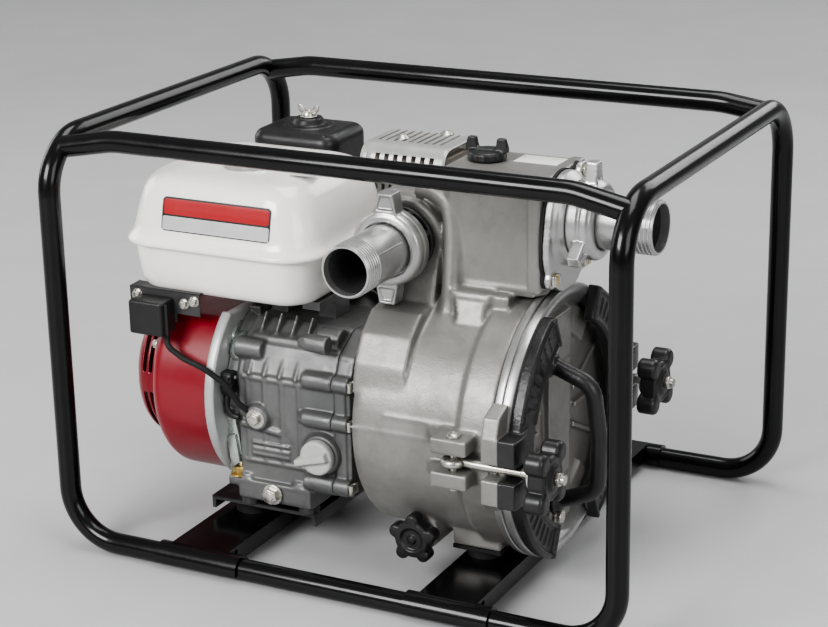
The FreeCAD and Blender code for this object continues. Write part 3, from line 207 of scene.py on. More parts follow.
class Shape:
    """Collects closed millimetre solids; finished into one piece."""

    def __init__(self):
        self.v, self.f = [], []

    def add(self, verts, faces):
        k = len(self.v)
        self.v += [tuple(p) for p in verts]
        self.f += [tuple(i + k for i in q) for q in faces]
        return self

    def box(self, x0, x1, y0, y1, z0, z1, m=None):
        p = [Vector(q) for q in ((x0, y0, z0), (x1, y0, z0), (x1, y1, z0), (x0, y1, z0), (x0, y0, z1), (x1, y0, z1), (x1, y1, z1), (x0, y1, z1))]
        if m:
            p = [m @ q for q in p]
        return self.add(p, [(3, 2, 1, 0), (4, 5, 6, 7), (0, 1, 5, 4), (1, 2, 6, 5), (2, 3, 7, 6), (3, 0, 4, 7)])

    def cone(self, p0, p1, r0, r1, n=40, m=None):
        p0, p1 = Vector(p0), Vector(p1)
        d = (p1 - p0).normalized()
        a = d.orthogonal().normalized()
        b = d.cross(a)
        v = []
        for p, r in ((p0, r0), (p1, r1)):
            for i in range(n):
                t = 2 * math.pi * i / n
                v.append(p + a * (r * math.cos(t)) + b * (r * math.sin(t)))
        f = [(i, (i + 1) % n, n + (i + 1) % n, n + i) for i in range(n)]
        f.append(tuple(range(n - 1, -1, -1)))
        f.append(tuple(range(n, 2 * n)))
        if m:
            v = [m @ q for q in v]
        return self.add(v, f)

    def cyl(self, p0, p1, r, n=40):
        return self.cone(p0, p1, r, r, n)

    def lathe(self, centre, axis, prof, n=72, a0=0.0, a1=2 * math.pi):
        """prof: (along, radius) points of a closed outline turned about the axis."""
        M = rot_to(axis)
        c = Vector(centre)
        full = abs(a1 - a0 - 2 * math.pi) < 1e-6
        steps = n if full else n + 1
        k = len(prof)
        v = []
        for i in range(steps):
            t = a0 + (a1 - a0) * i / n
            for s, r in prof:
                v.append(c + M @ Vector((r * math.cos(t), r * math.sin(t), s)))
        f = []
        for i in range(n):
            j = (i + 1) % steps
            for q in range(k):
                w = (q + 1) % k
                f.append((i * k + q, j * k + q, j * k + w, i * k + w))
        if not full:
            f.append(tuple(range(k - 1, -1, -1)))
            f.append(tuple((steps - 1) * k + q for q in range(k)))
        return self.add(v, f)

    def prism(self, pts, axis, s0, s1, m=None):
        """Outline of 2-D points swept along an axis: x -> (y, z), y -> (x, z), z -> (x, y)."""
        def P(u, w, s):
            return Vector({"x": (s, u, w), "y": (u, s, w), "z": (u, w, s)}[axis])
        n = len(pts)
        v = [P(u, w, s0) for u, w in pts] + [P(u, w, s1) for u, w in pts]
        f = [tuple(range(n - 1, -1, -1)), tuple(range(n, 2 * n))]
        f += [(i, (i + 1) % n, n + (i + 1) % n, n + i) for i in range(n)]
        if m:
            v = [m @ q for q in v]
        return self.add(v, f)

    def loft(self, rings):
        """Closed loops of equal count joined one to the next, ends capped."""
        n = len(rings[0])
        v = [p for r in rings for p in r]
        f = []
        for k in range(len(rings) - 1):
            f += [(k * n + i, k * n + (i + 1) % n, (k + 1) * n + (i + 1) % n, (k + 1) * n + i) for i in range(n)]
        f.append(tuple(range(n - 1, -1, -1)))
        f.append(tuple((len(rings) - 1) * n + i for i in range(n)))
        return self.add(v, f)

    def tube(self, pts, r, n=20, closed=False, radii=None, squash=None):
        """Round bar along dense points."""
        P = [Vector(p) for p in pts]
        k = len(P)
        T = []
        for i in range(k):
            a = P[(i - 1) % k] if closed or i else P[0]
            b = P[(i + 1) % k] if closed or i < k - 1 else P[-1]
            T.append((b - a).normalized())
        nrm = T[0].orthogonal().normalized()
        rings = []
        for i in range(k):
            nrm = (nrm - T[i] * nrm.dot(T[i])).normalized()
            bn = T[i].cross(nrm)
            rr = radii[i] if radii else r
            rings.append([P[i] + nrm * (rr * math.cos(2 * math.pi * q / n)) + bn * (rr * math.sin(2 * math.pi * q / n)) for q in range(n)])
        if closed:
            v = [p for q in rings for p in q]
            f = []
            for i in range(k):
                j = (i + 1) % k
                f += [(i * n + q, i * n + (q + 1) % n, j * n + (q + 1) % n, j * n + q) for q in range(n)]
            return self.add(v, f)
        return self.loft(rings)

    def hexa(self, p, d, af, h, cham=0.12):
        """Hexagon head: seated at p, pointing along d, af across flats."""
        p, d = Vector(p), Vector(d).normalized()
        a = d.orthogonal().normalized()
        b = d.cross(a)
        R = af / math.sqrt(3)
        def ring(s, r):
            return [p + d * s + a * (r * math.cos(math.pi / 3 * i)) + b * (r * math.sin(math.pi / 3 * i)) for i in range(6)]
        return self.loft([ring(0, R), ring(h * (1 - cham * 1.4), R), ring(h, R * (1 - cham))])

    def from_node(self, name, box=None):
        me = NODES[name].data
        k = len(self.v)
        self.v += [tuple(q.co * 1000) for q in me.vertices]
        self.f += [tuple(i + k for i in p.vertices) for p in me.polygons]
        return self


def spline(points, n=12, closed=False):
    """Catmull-Rom points through the given ones."""
    P = [Vector(p) for p in points]
    out = []
    k = len(P)
    rng = k if closed else k - 1
    for i in range(rng):
        p0 = P[(i - 1) % k] if closed or i > 0 else P[0] * 2 - P[1]
        p1, p2 = P[i], P[(i + 1) % k]
        p3 = P[(i + 2) % k] if closed or i + 2 < k else P[-1] * 2 - P[-2]
        for j in range(n):
            t = j / n
            out.append(0.5 * ((2 * p1) + (p2 - p0) * t + (2 * p0 - 5 * p1 + 4 * p2 - p3) * t * t + (3 * p1 - p0 - 3 * p2 + p3) * t ** 3))
    if not closed:
        out.append(P[-1])
    return out


def apply_mods(ob):
    dg = bpy.context.evaluated_depsgraph_get()
    me = bpy.data.meshes.new_from_object(ob.evaluated_get(dg))
    old = ob.data
    ob.modifiers.clear()
    ob.data = me
    bpy.data.meshes.remove(old)
    return ob


def piece(name, shape, mat, body, replaces=(), bevel=0.0, seg=2, voxel=0.0, smooth=0, sfac=0.5, sub=0,
          weld=True, angle=35, cut=None, auto=32, relief=None, decimate=0.0):
    """Turns a Shape into a scene piece on a body. cut: Shape taken away before the finish."""
    me = bpy.data.meshes.new(name)
    me.from_pydata([tuple(c * MM for c in p) for p in shape.v], [], shape.f)
    bm = bmesh.new()
    bm.from_mesh(me)
    if weld:
        bmesh.ops.remove_doubles(bm, verts=bm.verts, dist=1e-6)
    bmesh.ops.recalc_face_normals(bm, faces=bm.faces)
    bm.to_mesh(me)
    bm.free()
    ob = bpy.data.objects.new(name, me)
    bpy.context.scene.collection.objects.link(ob)
    tmp = None
    if cut is not None:
        cm = bpy.data.meshes.new(name + "_cut")
        cm.from_pydata([tuple(c * MM for c in p) for p in cut.v], [], cut.f)
        cb = bmesh.new()
        cb.from_mesh(cm)
        bmesh.ops.recalc_face_normals(cb, faces=cb.faces)
        cb.to_mesh(cm)
        cb.free()
        tmp = bpy.data.objects.new(name + "_cut", cm)
        bpy.context.scene.collection.objects.link(tmp)
        if voxel:
            r0 = ob.modifiers.new("r0", "REMESH")
            r0.mode = "VOXEL"
            r0.voxel_size = voxel * MM
            r0.adaptivity = 0.0
        bo = ob.modifiers.new("cut", "BOOLEAN")
        bo.operation = "DIFFERENCE"
        bo.object = tmp
        bo.solver = "EXACT"
        bo.use_self = True
        bo.use_hole_tolerant = False
    if voxel:
        r = ob.modifiers.new("r", "REMESH")
        r.mode = "VOXEL"
        r.voxel_size = voxel * MM
        r.adaptivity = 0.0
    if smooth:
        s = ob.modifiers.new("s", "SMOOTH")
        s.factor = sfac
        s.iterations = smooth
    if decimate:
        dm = ob.modifiers.new("d", "DECIMATE")
        dm.ratio = decimate
    if bevel:
        b = ob.modifiers.new("b", "BEVEL")
        b.width = bevel * MM
        b.segments = seg
        b.limit_method = "ANGLE"
        b.angle_limit = math.radians(angle)
        b.harden_normals = False
    if sub:
        q = ob.modifiers.new("q", "SUBSURF")
        q.levels = q.render_levels = sub
    apply_mods(ob)
    if tmp is not None:
        bpy.data.objects.remove(tmp)
    if relief:
        relief(ob.data)
    ob.data.materials.clear()
    ob.data.materials.append(MATS[mat] if isinstance(mat, str) else mat)
    for p in ob.data.polygons:
        p.use_smooth = True
    if auto and not voxel:
        ob.data.set_sharp_from_angle(angle=math.radians(auto))
    if body:
        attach(ob, body)
    if replaces:
        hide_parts(*replaces)
    return ob


# ------------------------------------------------------------ shared figures
YC, ZC = -64.0, 159.0
DX, DZ = 21.0, 333.5
SY, SZ = -64.0, 367.0


def arc_path(pts, rads, step=3.0):
    """Polyline with round corners, sampled finely."""
    P = [Vector(p) for p in pts]
    out = [P[0]]
    for i in range(1, len(P) - 1):
        a, b, c = P[i - 1], P[i], P[i + 1]
        u, w = (a - b).normalized(), (c - b).normalized()
        th = u.angle(w)
        t = min(rads[i - 1] / math.tan(th / 2), (a - b).length * 0.49, (c - b).length * 0.49)
        r = t * math.tan(th / 2)
        s, e = b + u * t, b + w * t
        o = b + (u + w).normalized() * (r / math.sin(th / 2))
        k = max(4, int((math.pi - th) * r / step))
        v0, v1 = s - o, e - o
        tot = v0.angle(v1)
        for j in range(k + 1):
            q = j / k
            out.append(o + (v0 * math.sin((1 - q) * tot) + v1 * math.sin(q * tot)) / math.sin(tot))
    out.append(P[-1])
    dense = []
    for i in range(len(out) - 1):
        k = max(1, int((out[i + 1] - out[i]).length / (step * 2)))
        for j in range(k):
            dense.append(out[i].lerp(out[i + 1], j / k))
    dense.append(out[-1])
    return dense


def paint_bore_shade(ob, test, mat):
    """Second material on the faces that pass the test (centre in millimetres); used as painted shade inside the nipple
    bores.
    """
    ob.data.materials.append(MATS[mat])
    for p in ob.data.polygons:
        if test(p.center * 1000):
            p.material_index = 1


# --------------------------------------------------------------- pump casing
s = Shape().from_node("pump_casing")
s.prism([(-181, 200), (-173.5, 230), (-158, 256), (-136, 274), (-112, 277), (-106, 290), (-98, 318), (-88, 345), (-60, 345), (-60, 284), (-100, 280), (-125, 262), (-143, 247), (-164, 222)], "x", 6, 62)
s.tube(spline([(34, -84, 386), (56, -88, 384), (71, -92, 374), (77, -95, 352), (78, -99, 318), (78, -104, 292), (77, -110, 270), (75, -122, 258)], 10), 9.5, n=18)
s.prism([(-120, 263), (-114, 294), (-75, 296), (-75, 282), (-98, 276)], "x", 84, 124)
s.box(83, 125, -115, -80, 289, 296)
s.loft([[(102, -128, 240), (120, -128, 240), (120, -140, 238), (102, -140, 238)], [(88, -112, 290), (122, -112, 290), (122, -118, 290), (88, -118, 290)]])
for z, x0 in ((184.6, 44), (168.0, 7)):
    y = YC - math.sqrt(125.0 ** 2 - (z - ZC) ** 2)
    s.tube([(x0 + i * 5.0, y + 0.2, z) for i in range(int((112 - x0) / 5))], 1.5, n=10)
    s.tube([(x0 + i * 5.0, 2 * YC - y - 0.2, z) for i in range(int((112 - x0) / 5))], 1.5, n=10)
# low pads under the lugs, and the web that carries them into the drum
for sg in (-1, 1):
    y0 = YC + sg * 116
    y1 = YC + sg * 141
    for z0, z1 in ((168, 184), (134, 150)):
        q = [(96, y0), (112, y1), (112, y0)] if True else None
        s.prism([(88, YC + sg * 117), (110, YC + sg * 148), (112, YC + sg * 118)], "z", z0 + 1.5, z1 - 1.5)
# raised band along the foot of the flange
s.lathe((0, YC, ZC), "x", [(121, 122), (124, 126.5), (128, 130.5), (130, 130.5), (130, 120)], n=96)
# ribs between the drum's back wall and the round engine joint
for k in range(8):
    a = math.radians(22.5 + 45 * k)
    m = Matrix.Translation((0, YC, ZC)) @ Matrix.Rotation(a, 4, "X")
    s.loft([[m @ Vector(p) for p in ((-9, 58, -2.6), (8, 58, -2.6), (8, 58, 2.6), (-9, 58, 2.6))],
            [m @ Vector(p) for p in ((3, 112, -2.2), (8, 112, -2.2), (8, 112, 2.2), (3, 112, 2.2))]])
# boss edge round the discharge port and edge bead of the tower
s.lathe((DX, 0, DZ), "y", [(-92.6, 36.5), (-92.6, 41), (-90, 43.6), (-84, 44.5), (-84, 36.5)], n=72)
s.tube([(x, -99.4, 300.5) for x in range(92, 160, 6)], 2.6, n=10)
# foot wedge facets
for y0, y1 in ((-137, -93), (-35, 9)):
    s.prism([(93, 46), (145, 46), (137, 72), (101, 72)], "y", y0 + 4, y1 - 4)
casing = piece("pump_casing_cast", s, "pump_casting", "unit", replaces=("pump_casing",), voxel=1.8, smooth=9, sfac=0.55)

# -------------------------------------------------------------- pump cover
s = Shape()
s.lathe((0, YC, ZC), "x", [(163.0, 112), (163.0, 134.5), (163.8, 136.4), (165.4, 137), (170.4, 137), (171.1, 136.3), (171.2, 134.4), (173.4, 134.4), (173.5, 136.3),
                           (174.2, 137), (178.6, 137), (180.8, 136.2), (182.2, 134.4), (182.8, 131.6), (182.6, 129.0), (181.2, 126.4), (178.4, 123.6), (174.6, 120.8), (171.4, 117.6), (169.6, 113.8), (169.3, 111.5), (164, 111.5)], n=160)
piece("pump_cover_rim", s, "machined_aluminium", "unit", replaces=("pump_cover",), auto=28)
s = Shape()
s.lathe((0, YC, ZC), "x", [(163.4, 0), (163.4, 121), (169.6, 121), (169.6, 112), (168.8, 108), (168.8, 40), (170.2, 34), (170.2, 0)], n=120)
s.lathe((0, YC, ZC), "x", [(97, 24), (97, 30), (164, 30), (164, 24)], n=64)
s.box(168, 177, YC - 27, YC + 27, ZC - 109, ZC + 109)
s.box(176, 178.5, YC - 21, YC + 21, ZC - 60, ZC + 60)
for a0, a1, r0, r1, x in ((48, 76, 84, 116, 175.5), (104, 132, 84, 116, 175.5), (228, 258, 86, 114, 174.5), (282, 312, 86, 114, 174.5)):
    s.lathe((0, YC, ZC), "x", [(168, r0), (168, r1), (x, r1 - 2.5), (x, r0 + 2.5)], n=20, a0=math.radians(a0), a1=math.radians(a1))
for k in range(7):
    a = math.radians(106 + 4.0 * k)
    m = Matrix.Translation((0, YC, ZC)) @ Matrix.Rotation(a, 4, "X")
    s.box(175, 177.4, 90, 108, -1.1, 1.1, m=m)
for a in (0, 26, -26, 180, 154, 206):
    m = Matrix.Translation((0, YC, ZC)) @ Matrix.Rotation(math.radians(a), 4, "X")
    s.box(168, 174.5, 44, 112, -2.4, 2.4, m=m)
for y, z in ((-108, 233), (-92, 85)):
    s.cone((168, y, z), (183, y, z), 15.5, 13.2, 40)
for i in range(5):
    s.box(168, 181 - i * 0.8, -74 + i * 5.4, -71.6 + i * 5.4, 70, 98)
for sg in (-1, 1):
    y0, y1 = sorted((YC + sg * 128, YC + sg * 156))
    for sz in (-1, 1):
        z0, z1 = sorted((ZC + sz * 8.3, ZC + sz * 33))
        s.box(163.2, 181, y0, y1, z0, z1)
        s.prism([(YC + sg * 156, ZC + sz * 32), (YC + sg * 149, ZC + sz * (52 if sz > 0 else 40)), (YC + sg * 128, ZC + sz * (60 if sz > 0 else 46)), (YC + sg * 122, ZC + sz * 32)], "x", 163.4, 179.5)
piece("pump_cover_face", s, "pump_casting", "unit", replaces=("pump_cover",), voxel=1.3, smooth=6, sfac=0.5)

# ----------------------------------------------------------- clamps and bolts
s = Shape().from_node("cover_clamps")
for sg in (-1, 1):
    base = 0.0 if sg > 0 else 180.0
    for sz in (-1, 1):
        a0, a1 = sorted((base + sz * 18, base + sz * 64))
        for r0, r1 in ((103.0, 106.6), (131.2, 134.8)):
            s.lathe((0, YC, ZC), "x", [(190, r0), (190, r1), (196.2, r1 - 0.4), (196.2, r0 + 0.4)], n=36, a0=math.radians(a0), a1=math.radians(a1))
        for k in range(7):
            a = math.radians(base + sz * (24 + 5.6 * k))
            m = Matrix.Translation((0, YC, ZC)) @ Matrix.Rotation(a, 4, "X")
            s.box(190, 195.6, 110.5, 127, -1.4, 1.4, m=m)
        m = Matrix.Translation((0, YC, ZC)) @ Matrix.Rotation(math.radians(base + sz * 65), 4, "X")
        s.box(186, 197.5, 102, 136, -3.2, 1.0, m=m)
piece("cover_clamps_cast", s, "black_casting", "unit", replaces=("cover_clamps",), voxel=1.2, smooth=3, sfac=0.5)

for tag, sg, ybolt in (("near", -1, -206.0), ("far", 1, 78.0)):
    s = Shape()
    s.lathe((0, ybolt, ZC), "x", [(212.5, 5.3), (212.5, 13.2), (214.0, 14.6), (229, 14.8), (232.6, 13.6), (234.6, 11.0), (234.8, 5.3)], n=48)
    s.lathe((0, ybolt, ZC), "x", [(214.4, 10), (213.2, 19), (215.2, 22.4), (229.5, 22.4), (232.4, 19.5), (230.4, 10)], n=64)
    for k in range(4):
        a = math.radians(45 + 90 * k)
        c = Vector((0, ybolt + 27 * math.cos(a), ZC + 27 * math.sin(a)))
        s.lathe(c, "x", [(212.8, 0), (212.8, 8.6), (214.6, 10.8), (229.6, 10.8), (232.4, 8.8), (233.2, 5.0), (233.0, 0)], n=36)
        m = Matrix.Translation((0, ybolt, ZC)) @ Matrix.Rotation(a, 4, "X")
        s.box(214, 230.5, 12, 28, -7.5, 7.5, m=m)
    piece("clamp_knob_" + tag + "_moulded", s, "plastic_black", "knob_" + tag, replaces=("clamp_knob_" + tag,), voxel=0.9, smooth=7, sfac=0.55)
    s = Shape().lathe((0, ybolt, ZC), "x", [(209.6, 5.4), (209.6, 14.2), (210.0, 14.6), (211.8, 14.6), (212.2, 14.2), (212.2, 5.4)], n=56)
    piece("knob_washer_" + tag, s, "zinc_steel", "knob_" + tag, auto=30)
    s = Shape()
    s.hexa((234.9, ybolt, ZC), (1, 0, 0), 12.5, 4.6)
    piece("knob_nut_" + tag, s, "zinc_steel", "knob_" + tag, bevel=0.3)
    # bent bar: straight shank, then a full eye round the pin
    pts = [(242, ybolt, ZC), (205, ybolt, ZC), (175, ybolt, ZC), (150, ybolt, ZC), (142.5, ybolt - sg * 1.0, ZC)]
    for k in range(0, 33):
        a = math.radians(12 + k * 10.2)
        pts.append((129 + 8.4 * math.cos(a), ybolt - sg * 0 + sg * -1 * 8.4 * math.sin(a), ZC))
    s = Shape().tube(spline(pts[:4], 8) + [Vector(p) for p in pts[4:]], 4.3, n=22)
    s.tube([(x, ybolt, ZC) for x in (200, 242.5)], 4.9, n=24)
    s.tube([(x * 1.0, ybolt, ZC) for x in (240.5, 243)], 5.0, n=24)
    s.cyl((129, ybolt, ZC + 18), (129, ybolt, ZC - 18), 3.9, 28)
    s.lathe((129, ybolt, 0), "z", [(ZC + 25.3, 0), (ZC + 25.3, 7.4), (ZC + 26.8, 7.2), (ZC + 28.4, 5.6), (ZC + 29, 3.2), (ZC + 28.2, 2.4), (ZC + 28.2, 0)], n=36)
    s.lathe((129, ybolt, 0), "z", [(ZC - 25.3, 0), (ZC - 25.3, 5.4), (ZC - 28.4, 5.2), (ZC - 29, 4.4), (ZC - 29, 0)], n=30)
    s.cyl((129, ybolt, ZC + 26), (129, ybolt, ZC - 26), 3.85, 28)
    piece("swing_bolt_" + tag + "_forged", s, "zinc_steel", "bolt_" + tag, replaces=("swing_bolt_" + tag,), weld=False, auto=34)

# ------------------------------------------------------------------ D handle
path = arc_path([(186, -108, 233), (229, -106.5, 216), (233.6, -100, 159), (229, -93.5, 102), (186, -92, 85)], [21, 60, 21], 2.0)
s = Shape().tube(path, 8.3, n=30)
for y, z in ((-108, 233), (-92, 85)):
    s.cone((183.2, y, z), (187.5, y, z), 14.5, 13.5, 40)
    s.cone((187, y, z), (193, y, z), 12.5, 8.4, 40)
    s.box(183.2, 187, y - 7, y + 7, min(z, z + (18 if z > 159 else -18)), max(z, z + (18 if z > 159 else -18)))
piece("cover_handle_bar", s, "black_casting", "unit", replaces=("cover_handle",), voxel=1.0, smooth=5, sfac=0.5)
s = Shape()
for y, z in ((-108, 250), (-92, 68)):
    s.hexa((187, y, z), (1, 0, 0), 12.5, 5.5)
    s.cyl((183.4, y, z), (187.2, y, z), 8.2, 30)
piece("cover_handle_nuts", s, "zinc_steel", "unit", bevel=0.35)

# --------------------------------------------------------- hose connections
def ring_lug(s, cutter, frame_m, r0, r1, w0, w1, t0, t1):
    """Claw with a sunk face: radial from r0 to r1, along the axis t0..t1."""
    def P(u, w, t):
        return frame_m @ Vector((w, u, t))
    for sh, ins, ta, tb in ((s, 0.0, t0, t1), (cutter, 3.4, t1 - 2.6, t1 + 4)):
        ra = r0 + (6.5 if ins else 0.0)
        rb = r1 - ins
        wa, wb = w0 - ins, w1 - ins * 0.9
        sh.add([P(ra, -wa, ta), P(ra, wa, ta), P(rb, wb, ta), P(rb, -wb, ta), P(ra, -wa, tb), P(ra, wa, tb), P(rb, wb, tb), P(rb, -wb, tb)],
               [(3, 2, 1, 0), (4, 5, 6, 7), (0, 1, 5, 4), (1, 2, 6, 5), (2, 3, 7, 6), (3, 0, 4, 7)])


RING = [(0.0, 33.6), (0.4, 37.4), (1.6, 38.4), (9.6, 38.4), (10.4, 37.2), (12.2, 37.2), (13.0, 38.2), (18.0, 38.0), (20.6, 36.6), (22.3, 34.0), (22.9, 31.6), (22.9, 27.6), (17.2, 27.6), (17.2, 33.6)]
s, c = Shape(), Shape()
s.lathe((DX, -110.2, DZ), "y", [(-a, r) for a, r in RING], n=96)
for ang in (0, 180):
    fm_ = Matrix.Translation((DX, -110.2, DZ)) @ Matrix.Rotation(math.radians(ang), 4, "Y") @ Matrix(((1, 0, 0, 0), (0, 0, -1, 0), (0, 1, 0, 0), (0, 0, 0, 1)))
    ring_lug(s, c, fm_, 33, 56, 12.5, 8.6, 3.0, 20.8)
piece("discharge_coupling_claw", s, "machined_aluminium", "discharge_ring", replaces=("discharge_coupling_ring",), voxel=0.95, smooth=3, cut=c)
s, c = Shape(), Shape()
s.lathe((200.3 - 4.0, SY, SZ), "x", [(a * 1.16, r) for a, r in RING], n=96)
for ang in (90, 210, 330):
    fm_ = Matrix.Translation((196.3, SY, SZ)) @ Matrix.Rotation(math.radians(ang), 4, "X") @ Matrix(((0, 0, 1, 0), (0, 1, 0, 0), (-1, 0, 0, 0), (0, 0, 0, 1)))
    ring_lug(s, c, fm_, 33, 58, 9.5, 5.6, 8.0, 20.6)
piece("suction_coupling_claw", s, "machined_aluminium", "suction_ring", replaces=("suction_coupling_ring",), voxel=0.95, smooth=3, cut=c)

s = Shape()
s.lathe((DX, 0, DZ), "y", [(-92.2, 24.2), (-92.2, 34.4), (-93.5, 35.2), (-97.5, 35.2), (-98.6, 34.2), (-99, 30.6), (-107.6, 30.6), (-108, 33.6), (-110, 33.6), (-110, 30), (-121.8, 29.8), (-122, 24.2)], n=80)
for k in range(8):
    m = Matrix.Translation((DX, 0, DZ)) @ Matrix.Rotation(math.radians(22.5 + 45 * k), 4, "Y")
    s.box(28, 34.2, -108.5, -98, -2.6, 2.6, m=m)
piece("discharge_port_black", s, "black_casting", "unit", replaces=("discharge_port_adapter",), bevel=0.5, seg=2, auto=30)

s = Shape()
def nipple(s, centre, axis, sgn, mouth, seat, flange, neck):
    """Barrel with fine ribs at the mouth; along-axis values, outside first."""
    pr = [(mouth, 23.2), (mouth, 25.0), (mouth - sgn * 1.2, 25.9)]
    a = mouth - sgn * 2.0
    for k in range(6):
        pr += [(a, 25.8), (a - sgn * 0.8, 26.7), (a - sgn * 2.3, 26.7), (a - sgn * 3.1, 25.8)]
        a -= sgn * 4.0
    pr += [(a, 25.9), (a - sgn * 1.5, 26.5), (neck + sgn * 1.5, 26.7), (neck, 26.3), (flange[1] + sgn * 0.2, 26.2), (flange[1], 33.0), (flange[0], 33.0), (seat, 32.0), (seat, 23.0), (mouth - sgn * 9, 23.0)]
    s.lathe(centre, axis, pr, n=112)


nipple(s, (DX, 0, DZ), "y", -1, -212.0, -122.1, (-122.4, -127.4), -136)
nipple(s, (0, SY, SZ), "x", 1, 279.0, 213.2, (213.4, 218.4), 226)
# mould seams along both barrels
s.tube([(DX + 26.5 * math.cos(0.5), -188 + i * 6.0, DZ + 26.5 * math.sin(0.5)) for i in range(9)], 0.7, n=8)
s.tube([(DX - 26.5 * math.cos(0.5), -188 + i * 6.0, DZ - 26.5 * math.sin(0.5)) for i in range(9)], 0.7, n=8)
s.tube([(230 + i * 4.0, SY - 26.5 * math.cos(0.3), SZ + 26.5 * math.sin(0.3)) for i in range(7)], 0.7, n=8)
nip = piece("hose_nipples_cast", s, "machined_aluminium", "unit", replaces=("hose_nipples",), auto=24)
# painted shade: the bore faces inside both barrels take the dark iron_grey material, standing in for the shade deep in
# the nipples rather than a darker metal
paint_bore_shade(nip, lambda p: (math.hypot(p.x - DX, p.z - DZ) < 23.3 and -206 < p.y < -120) or (math.hypot(p.y - SY, p.z - SZ) < 23.3 and 205 < p.x < 273), "iron_grey")

s = Shape().from_node("suction_valve_body")
s.lathe((0, SY, SZ), "x", [(185, 34), (185, 44.5), (187.5, 45.5), (189, 43.5), (192.5, 41.5), (196, 37.6), (196, 31)], n=80)
for y, z in ((-101, 404), (-27, 404), (-101, 315), (-27, 315)):
    s.lathe((0, y, z), "x", [(180, 3.4), (180, 9.6), (185, 9.8), (186.2, 8.6), (186.2, 3.4)], n=36)
piece("suction_valve_body_cast", s, "machined_aluminium", "unit", replaces=("suction_valve_body",), voxel=1.1, smooth=4)

# ---------------------------------------------------------------------- caps
s = Shape()
s.lathe((91, -46, 0), "z", [(411.4, 0), (411.4, 18.4), (412.4, 19), (418.2, 19), (420, 17.8), (420.8, 15.0), (420.6, 0)], n=72)
s.cyl((91, -46, 397.2), (91, -46, 412), 14.8, 48)
for k in range(24):
    a = math.radians(15 * k)
    s.cyl((91 + 18.6 * math.cos(a), -46 + 18.6 * math.sin(a), 412.6), (91 + 18.6 * math.cos(a), -46 + 18.6 * math.sin(a), 418.4), 1.0, 10)
for sg in (-1, 1):
    s.loft([[(91 + sg * 9.5, -50.2, 419), (91 + sg * 22.4, -50.2, 419), (91 + sg * 22.4, -41.8, 419), (91 + sg * 9.5, -41.8, 419)],
            [(91 + sg * 10.5, -49.6, 426), (91 + sg * 21.6, -49.6, 426), (91 + sg * 21.6, -42.4, 426), (91 + sg * 10.5, -42.4, 426)],
            [(91 + sg * 11.5, -49.0, 432.9), (91 + sg * 19.6, -49.0, 432.9), (91 + sg * 19.6, -43.0, 432.9), (91 + sg * 11.5, -43.0, 432.9)]])
s.box(72, 110, -49.4, -42.6, 418, 423)
s.box(71.6, 74.5, -50, -42, 413, 422)
s.box(107.5, 110.4, -50, -42, 413, 422)
piece("priming_cap_moulded", s, "plastic_black", "priming_cap_body", replaces=("priming_cap",), voxel=0.8, smooth=4)

s = Shape()
s.lathe((67, 0, 54), "y", [(-114.4, 0), (-114.4, 9.6), (-156, 9.8), (-156.2, 15.8), (-162, 16), (-162.2, 18.6), (-175.4, 19.2), (-177.6, 17.2), (-177.8, 12.4), (-175.2, 10.6), (-175.0, 0)], n=72)
for k in range(5):
    a = math.radians(72 * k + 18)
    c = (67 + 19 * math.cos(a), 0, 54 + 19 * math.sin(a))
    s.lathe(c, "y", [(-162.2, 0), (-162.2, 6.0), (-163.4, 7.0), (-175.6, 7.0), (-177.6, 5.4), (-177.9, 0)], n=32)
s.lathe((67, 0, 54), "y", [(-174, 0), (-174, 4.4), (-177.4, 4.0), (-177.8, 0)], n=30)
piece("drain_cap_moulded", s, "plastic_black", "drain_cap_body", replaces=("drain_cap",), voxel=0.8, smooth=5)

s = Shape()
s.box(118, 164, -44, -16, 411.0, 411.5)
piece("pump_top_decal", s, "label_white", "unit", bevel=0.15)

# ------------------------------------------------------------------ fuel tank
TX0, TX1, TY0, TY1 = -269.0, -53.0, -161.0, 34.0


def rrect_ring(x0, x1, y0, y1, z, r, n=14, m=18):
    """Rounded rectangle with equal point counts on corners and sides."""
    r = max(4.0, min(r, (x1 - x0) / 2 - 1.0, (y1 - y0) / 2 - 1.0))
    out = []
    cor = [(x1 - r, y1 - r, 0), (x0 + r, y1 - r, 90), (x0 + r, y0 + r, 180), (x1 - r, y0 + r, 270)]
    for k in range(4):
        cx_, cy_, a0 = cor[k]
        for j in range(n + 1):
            a = math.radians(a0 + 90.0 * j / n)
            out.append(Vector((cx_ + r * math.cos(a), cy_ + r * math.sin(a), z)))
        nx_, ny_, a1 = cor[(k + 1) % 4]
        e = Vector((nx_ + r * math.cos(math.radians(a1)), ny_ + r * math.sin(math.radians(a1)), z))
        b = out[-1].copy()
        for j in range(1, m):
            out.append(b.lerp(e, j / m))
    return out


prof = [(265.2, 26, 20), (265.3, 20, 24), (266.0, 15, 28), (268.2, 10.8, 31), (272.4, 7.6, 33), (279, 5.6, 34.5), (290, 3.8, 36), (303, 2.2, 37), (312, 1.2, 37.5),
        (314.8, 0.6, 38), (315.4, -1.4, 40), (315.8, -4.8, 43), (316.6, -6.2, 44), (318.4, -6.8, 44.5), (320.4, -6.2, 44), (322.6, -4.2, 42.5), (325.6, -1.8, 40.5), (329.5, 0.2, 39),
        (336, 1.8, 38.5), (346, 3.8, 38), (356, 6.0, 37.5), (364, 8.0, 37), (371, 10.2, 36.5), (376.5, 12.8, 36), (381, 16.4, 35), (384.6, 21.0, 34), (387.2, 26.6, 33), (389.2, 33.5, 32), (390.6, 42, 31), (391.5, 54, 28), (391.9, 72, 22)]
s = Shape().loft([rrect_ring(TX0 + i, TX1 - i, TY0 + i, TY1 - i, z, r) for z, i, r in prof])
cc = Shape().lathe((-154, -84, 0), "z", [(387.0, 0), (387.0, 30.6), (389.5, 32.4), (396.0, 33.6), (396.0, 0)], n=96)
piece("fuel_tank_painted", s, "white_paint", "unit", replaces=("fuel_tank",), auto=44, cut=cc)
